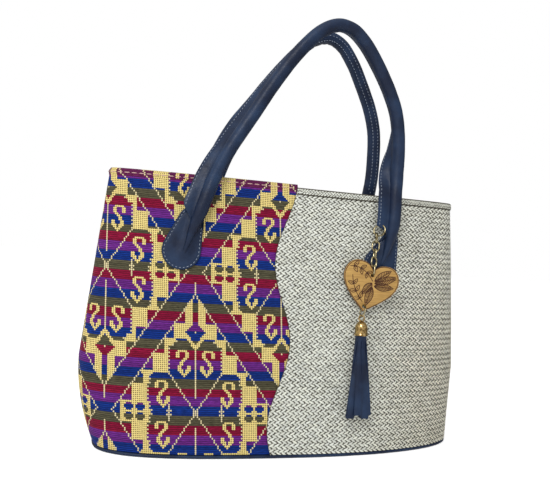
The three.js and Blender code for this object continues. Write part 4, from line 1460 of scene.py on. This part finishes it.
def woodMaterial():
    # Laser-cut alder plywood: pale tan with fine grain, the cut edge burnt dark
    material, tree, shader = newMaterial("laser_cut_alder")
    spot = addNode(tree, "TexCoord").outputs["Object"]
    grainSize = (1 / (14 * mm), 1 / (6 * mm), 1 / (1.1 * mm))
    stretched = addNode(tree, "Mapping", {"Rotation": (0, 0.3, 0), "Scale": grainSize, "Vector": spot})
    grain = addNode(tree, "TexNoise", {"Scale": 1, "Detail": 5, "Vector": stretched})
    spread = addNode(tree, "MapRange", {0: grain, 1: 0.3, 2: 0.7})
    tones = {"data_type": "RGBA", 0: spread, 6: rgba("#a0783a"), 7: rgba("#c69e56")}
    colour = addNode(tree, "Mix", tones).outputs[2]
    normal = addNode(tree, "NewGeometry").outputs["True Normal"]
    through = heartTurn.to_3x3() @ Vector((0, 1, 0))
    facing = addNode(tree, "VectorMath", {"operation": "DOT_PRODUCT", 0: normal, 1: through}).outputs["Value"]
    turned = addNode(tree, "Math", {"operation": "ABSOLUTE", 0: facing})
    side = addNode(tree, "Math", {"operation": "LESS_THAN", 0: turned, 1: 0.5})
    burnt = addNode(tree, "Mix", {"data_type": "RGBA", 0: side, 6: colour, 7: rgba("#3a2212")}).outputs[2]
    bump = addNode(tree, "Bump", {"Strength": 0.15, "Distance": 0.1 * mm, "Height": grain})
    feed(tree, shader, {"Base Color": burnt, "Normal": bump, "Roughness": 0.5})
    return material


def burntLineMaterial():
    # Lines burnt by the laser: dark red-brown char, matt, uneven in depth
    material, tree, shader = newMaterial("burnt_line")
    spot = addNode(tree, "TexCoord").outputs["Object"]
    depth = addNode(tree, "TexNoise", {"Scale": 1 / (1.2 * mm), "Detail": 2, "Vector": spot})
    tones = {"data_type": "RGBA", 0: depth, 6: rgba("#331709"), 7: rgba("#562a14")}
    feed(tree, shader, {"Base Color": addNode(tree, "Mix", tones).outputs[2], "Roughness": 0.8})
    return material


def makeHeart():
    outline = heartOutline(heart["edgeSteps"])
    thick = heart["thick"] * mm
    clearSelection()
    bpy.ops.mesh.primitive_circle_add(vertices=len(outline), radius=1, fill_type="NGON")
    piece = bpy.context.object
    nameIt(piece, "wooden_heart")
    for vertex, (x, z) in zip(piece.data.vertices, outline * mm):
        vertex.co = (x, thick / 2, z)
    editAll(piece, bpy.ops.mesh.extrude_region_move, TRANSFORM_OT_translate={"value": (0, -thick, 0)})
    editAll(piece, bpy.ops.mesh.normals_make_consistent, inside=False)
    for z, radius in heart["holes"]:
        clearSelection()
        bpy.ops.mesh.primitive_cylinder_add(
            vertices=28, radius=radius * mm, depth=3 * thick, location=(0, 0, z * mm), rotation=(pi / 2, 0, 0)
        )
        drill = bpy.context.object
        addModifier(piece, "BOOLEAN", object=drill, operation="DIFFERENCE", solver="EXACT")
        bpy.data.objects.remove(drill)
    addModifier(piece, "BEVEL", width=heart["bevel"] * mm, segments=2, limit_method="ANGLE")
    placeMesh(piece, heartFrame)
    smooth(piece, 35)
    return finishPiece(piece, woodMaterial(), ["heart_charm"])


def insideOutline(points, outline):
    x, y = points[:, 0], points[:, 1]
    odd = np.zeros(len(points), bool)
    for (x0, y0), (x1, y1) in zip(outline, np.roll(outline, -1, 0)):
        crosses = (y0 > y) != (y1 > y)
        with np.errstate(divide="ignore", invalid="ignore"):
            odd ^= crosses & (x < (x1 - x0) * (y - y0) / (y1 - y0) + x0)
    return odd


# A leaf's two edges, its midrib and its veins
def leafLines(start, end, wide, veins, stopShort):
    axis = np.array(end, float) - np.array(start, float)
    across = np.array([-axis[1], axis[0]]) / np.linalg.norm(axis)

    def spot(share, sway):
        belly = wide * np.sin(pi * share ** leafShape["belly"])
        return np.array(start) + np.multiply.outer(share, axis) + np.multiply.outer(belly * sway, across)

    share = np.linspace(0, 1, leafShape["steps"])
    lines = [spot(share, 1), spot(share, -1), spot(share[:-stopShort], 0)]
    outward = np.linspace(0, 1, vein["steps"])
    for k in range(veins):
        along = vein["first"] + vein["stretch"] * k / veins + vein["rise"] * outward
        lines += [spot(along, vein["reach"] * outward), spot(along, -vein["reach"] * outward)]
    return lines


def sprigLines(start, bend, end, pairs, size):
    a, b, c = (np.array(p, float) for p in (start, bend, end))

    def stem(t):
        return a * (1 - t) ** 2 + 2 * b * t * (1 - t) + c * t**2

    lines = [stem(np.linspace(0, 1, stemSteps)[:, None])]
    for k in range(pairs):
        share = sprigLeaf["first"] + sprigLeaf["stretch"] * k / pairs
        at = stem(share)
        ahead = 2 * (b - a) * (1 - share) + 2 * (c - b) * share
        way = math.atan2(ahead[1], ahead[0])
        long = size * (1 - sprigLeaf["less"] * share)
        for turn in (way - sprigLeaf["turn"], way + sprigLeaf["turn"]):
            tip = at + long * np.array([math.cos(turn), math.sin(turn)])
            lines += leafLines(at, tip, sprigLeaf["half"] * long, 0, sprigLeaf["stopShort"])
    return lines


# All lines cut off at the edge, and one round it, each through the same number of points
def heartLines():
    lines = []
    for sprig in sprigs:
        lines += sprigLines(*sprig)
    for leaf in broadLeaves:
        lines += leafLines(*leaf, 1)
    outline = heartOutline(heart["rimSteps"])
    lines = [line[insideOutline(line, outline * heart["clip"])] for line in lines]
    size, lower = heart["rim"]
    lines.append(np.concatenate([outline, outline[:1]]) * size + np.array([0, lower]))
    made = []
    for line in lines:
        if len(line) > 2:
            lengths = lengthsAlong(line)
            made.append(pointsAt(np.linspace(0, lengths[-1], heart["lineSteps"] + 1), lengths, line))
    return np.array(made)


def makeEngraving():
    lines = heartLines()
    steps = heart["lineSteps"]
    ahead = unit(np.gradient(lines, axis=1))
    across = np.stack([-ahead[..., 1], ahead[..., 0]], -1)
    half = np.full(steps + 1, heart["lineWide"] / 2)
    half[[0, -1]] *= heart["lineEnds"]
    sway = np.array([1, 1, -1, -1])
    deep = np.array([0, 1, 1, 0]) * heart["lineDeep"] - heart["thick"] / 2 - heart["lineProud"]

    def place(which, column, row):
        flat = lines[which, column] + across[which, column] * (half[column] * sway[row % 4])[:, None]
        return np.stack([flat[:, 0], deep[row % 4], flat[:, 1]], -1)

    piece = makeRepeats("heart_engraving", len(lines), steps, 4, place)[0]
    weld(piece, heart["lineWeld"])
    editAll(piece, bpy.ops.mesh.fill_holes, sides=4)
    editAll(piece, bpy.ops.mesh.normals_make_consistent, inside=False)
    placeMesh(piece, heartFrame)
    return finishPiece(piece, burntLineMaterial())


makeHeart()
makeEngraving()
print("stage: heart")

hemSeam = {
    "at": 247.2,
    "reach": (-12, 425),
    "pitch": 6.6,
    "room": 3,  # no stitches nearer to the cloth's ends
    "long": 5.9,
    "radius": 0.42,
    "out": -0.35,
    "colour": "#d8b3a8",
}


def makeHemStitches(half):
    at, out = hemSeam["at"], hemSeam["out"]
    along = np.arange(*hemSeam["reach"], hemSeam["pitch"])
    front = half.edge(frontSeamX, back=False)(at) + hemSeam["room"]
    back = half.edge(backSeamX, back=True)(at) - hemSeam["room"]
    along = along[(along > front) & (along < back)]
    z = 0 * along + at
    step, wellOut = 1, 5  # distances over which the way along and the way out are measured
    spots = half.point(along, z, out)
    ahead = unit(half.point(along + step, z, out) - half.point(along - step, z, out))
    normal = unit(np.cross(ahead, np.array([0, 0, 1.0])))
    outer = half.point(along, z, out + wellOut) - spots
    normal = normal * np.sign((normal * outer).sum(-1, keepdims=True))
    piece = makeStitches("cloth_hem_stitches", spots, ahead, normal, hemSeam["long"], hemSeam["radius"])
    return finishPiece(piece, threadMaterial("rose_sewing_thread", hemSeam["colour"]))


makeHemStitches(clothHalf)
print("stage: hem")

# Floor and light

stageLook = {
    "floorSize": 6,
    "floorBelow": 0.2,
    "floor": "#fafafa",
    "floorGlow": 0.5,  # seen by the camera alone, so that the floor runs into the white backdrop
    "seenWorld": 1.0,
    "lightWorld": (0.1, 0.95),  # away from the window and towards it
    "windowTo": (-0.62, -0.55, 0.56),
    "windowFrom": -0.7,  # how far round from the window its light begins, as a cosine
    "aim": (0, 0, 0.15),
}
lamps = [
    # name, place in metres, size, power
    ("key", (-0.75, -1.15, 1.35), 0.7, 13),
    ("fill", (1.3, -1.0, 0.9), 1.4, 0.6),
]
white = (1, 1, 1, 1)


def makeFloor():
    # Pale matt paper, which glows a little for the camera
    clearSelection()
    below = -stageLook["floorBelow"] * mm
    bpy.ops.mesh.primitive_plane_add(size=stageLook["floorSize"], location=(0, 0, below))
    floor = bpy.context.object
    floor.name = "floor"
    material, tree, shader = newMaterial("pale_paper_floor")
    seen = addNode(tree, "LightPath").outputs["Is Camera Ray"]
    glow = addNode(tree, "Math", {"operation": "MULTIPLY", 0: seen, 1: stageLook["floorGlow"]})
    feed(tree, shader, {"Base Color": rgba(stageLook["floor"]), "Roughness": 0.9, "Specular IOR Level": 0})
    feed(tree, shader, {"Emission Color": white, "Emission Strength": glow})
    floor.data.materials.append(material)


def makeWorld():
    world = bpy.data.worlds.new("studio")
    bpy.context.scene.world = world
    world.use_nodes = True
    tree = world.node_tree
    background = next(n for n in tree.nodes if n.type == "BACKGROUND")
    # The backdrop is seen white, and lights the bag as a room with a window on the left does
    seen = addNode(tree, "LightPath").outputs["Is Camera Ray"]
    way = addNode(tree, "TexCoord").outputs["Generated"]
    toWindow = {"operation": "DOT_PRODUCT", 0: way, 1: stageLook["windowTo"]}
    towards = addNode(tree, "VectorMath", toWindow).outputs["Value"]
    dark, bright = stageLook["lightWorld"]
    light = addNode(tree, "MapRange", {0: towards, 1: stageLook["windowFrom"], 2: 1, 3: dark, 4: bright})
    strength = addNode(tree, "Mix", {0: seen, 2: light, 3: stageLook["seenWorld"]})
    feed(tree, background, {"Color": white, "Strength": strength})


def makeLamps():
    for name, place, size, power in lamps:
        clearSelection()
        bpy.ops.object.light_add(type="AREA", location=place)
        lamp = bpy.context.object
        lamp.name = name
        lamp.data.energy = power
        lamp.data.size = size
        aim = Vector(stageLook["aim"]) - Vector(place)
        lamp.rotation_euler = aim.to_track_quat("-Z", "Y").to_euler()


makeFloor()
makeWorld()
makeLamps()
bpy.context.scene.view_settings.view_transform = "Standard"
print("stage: done")
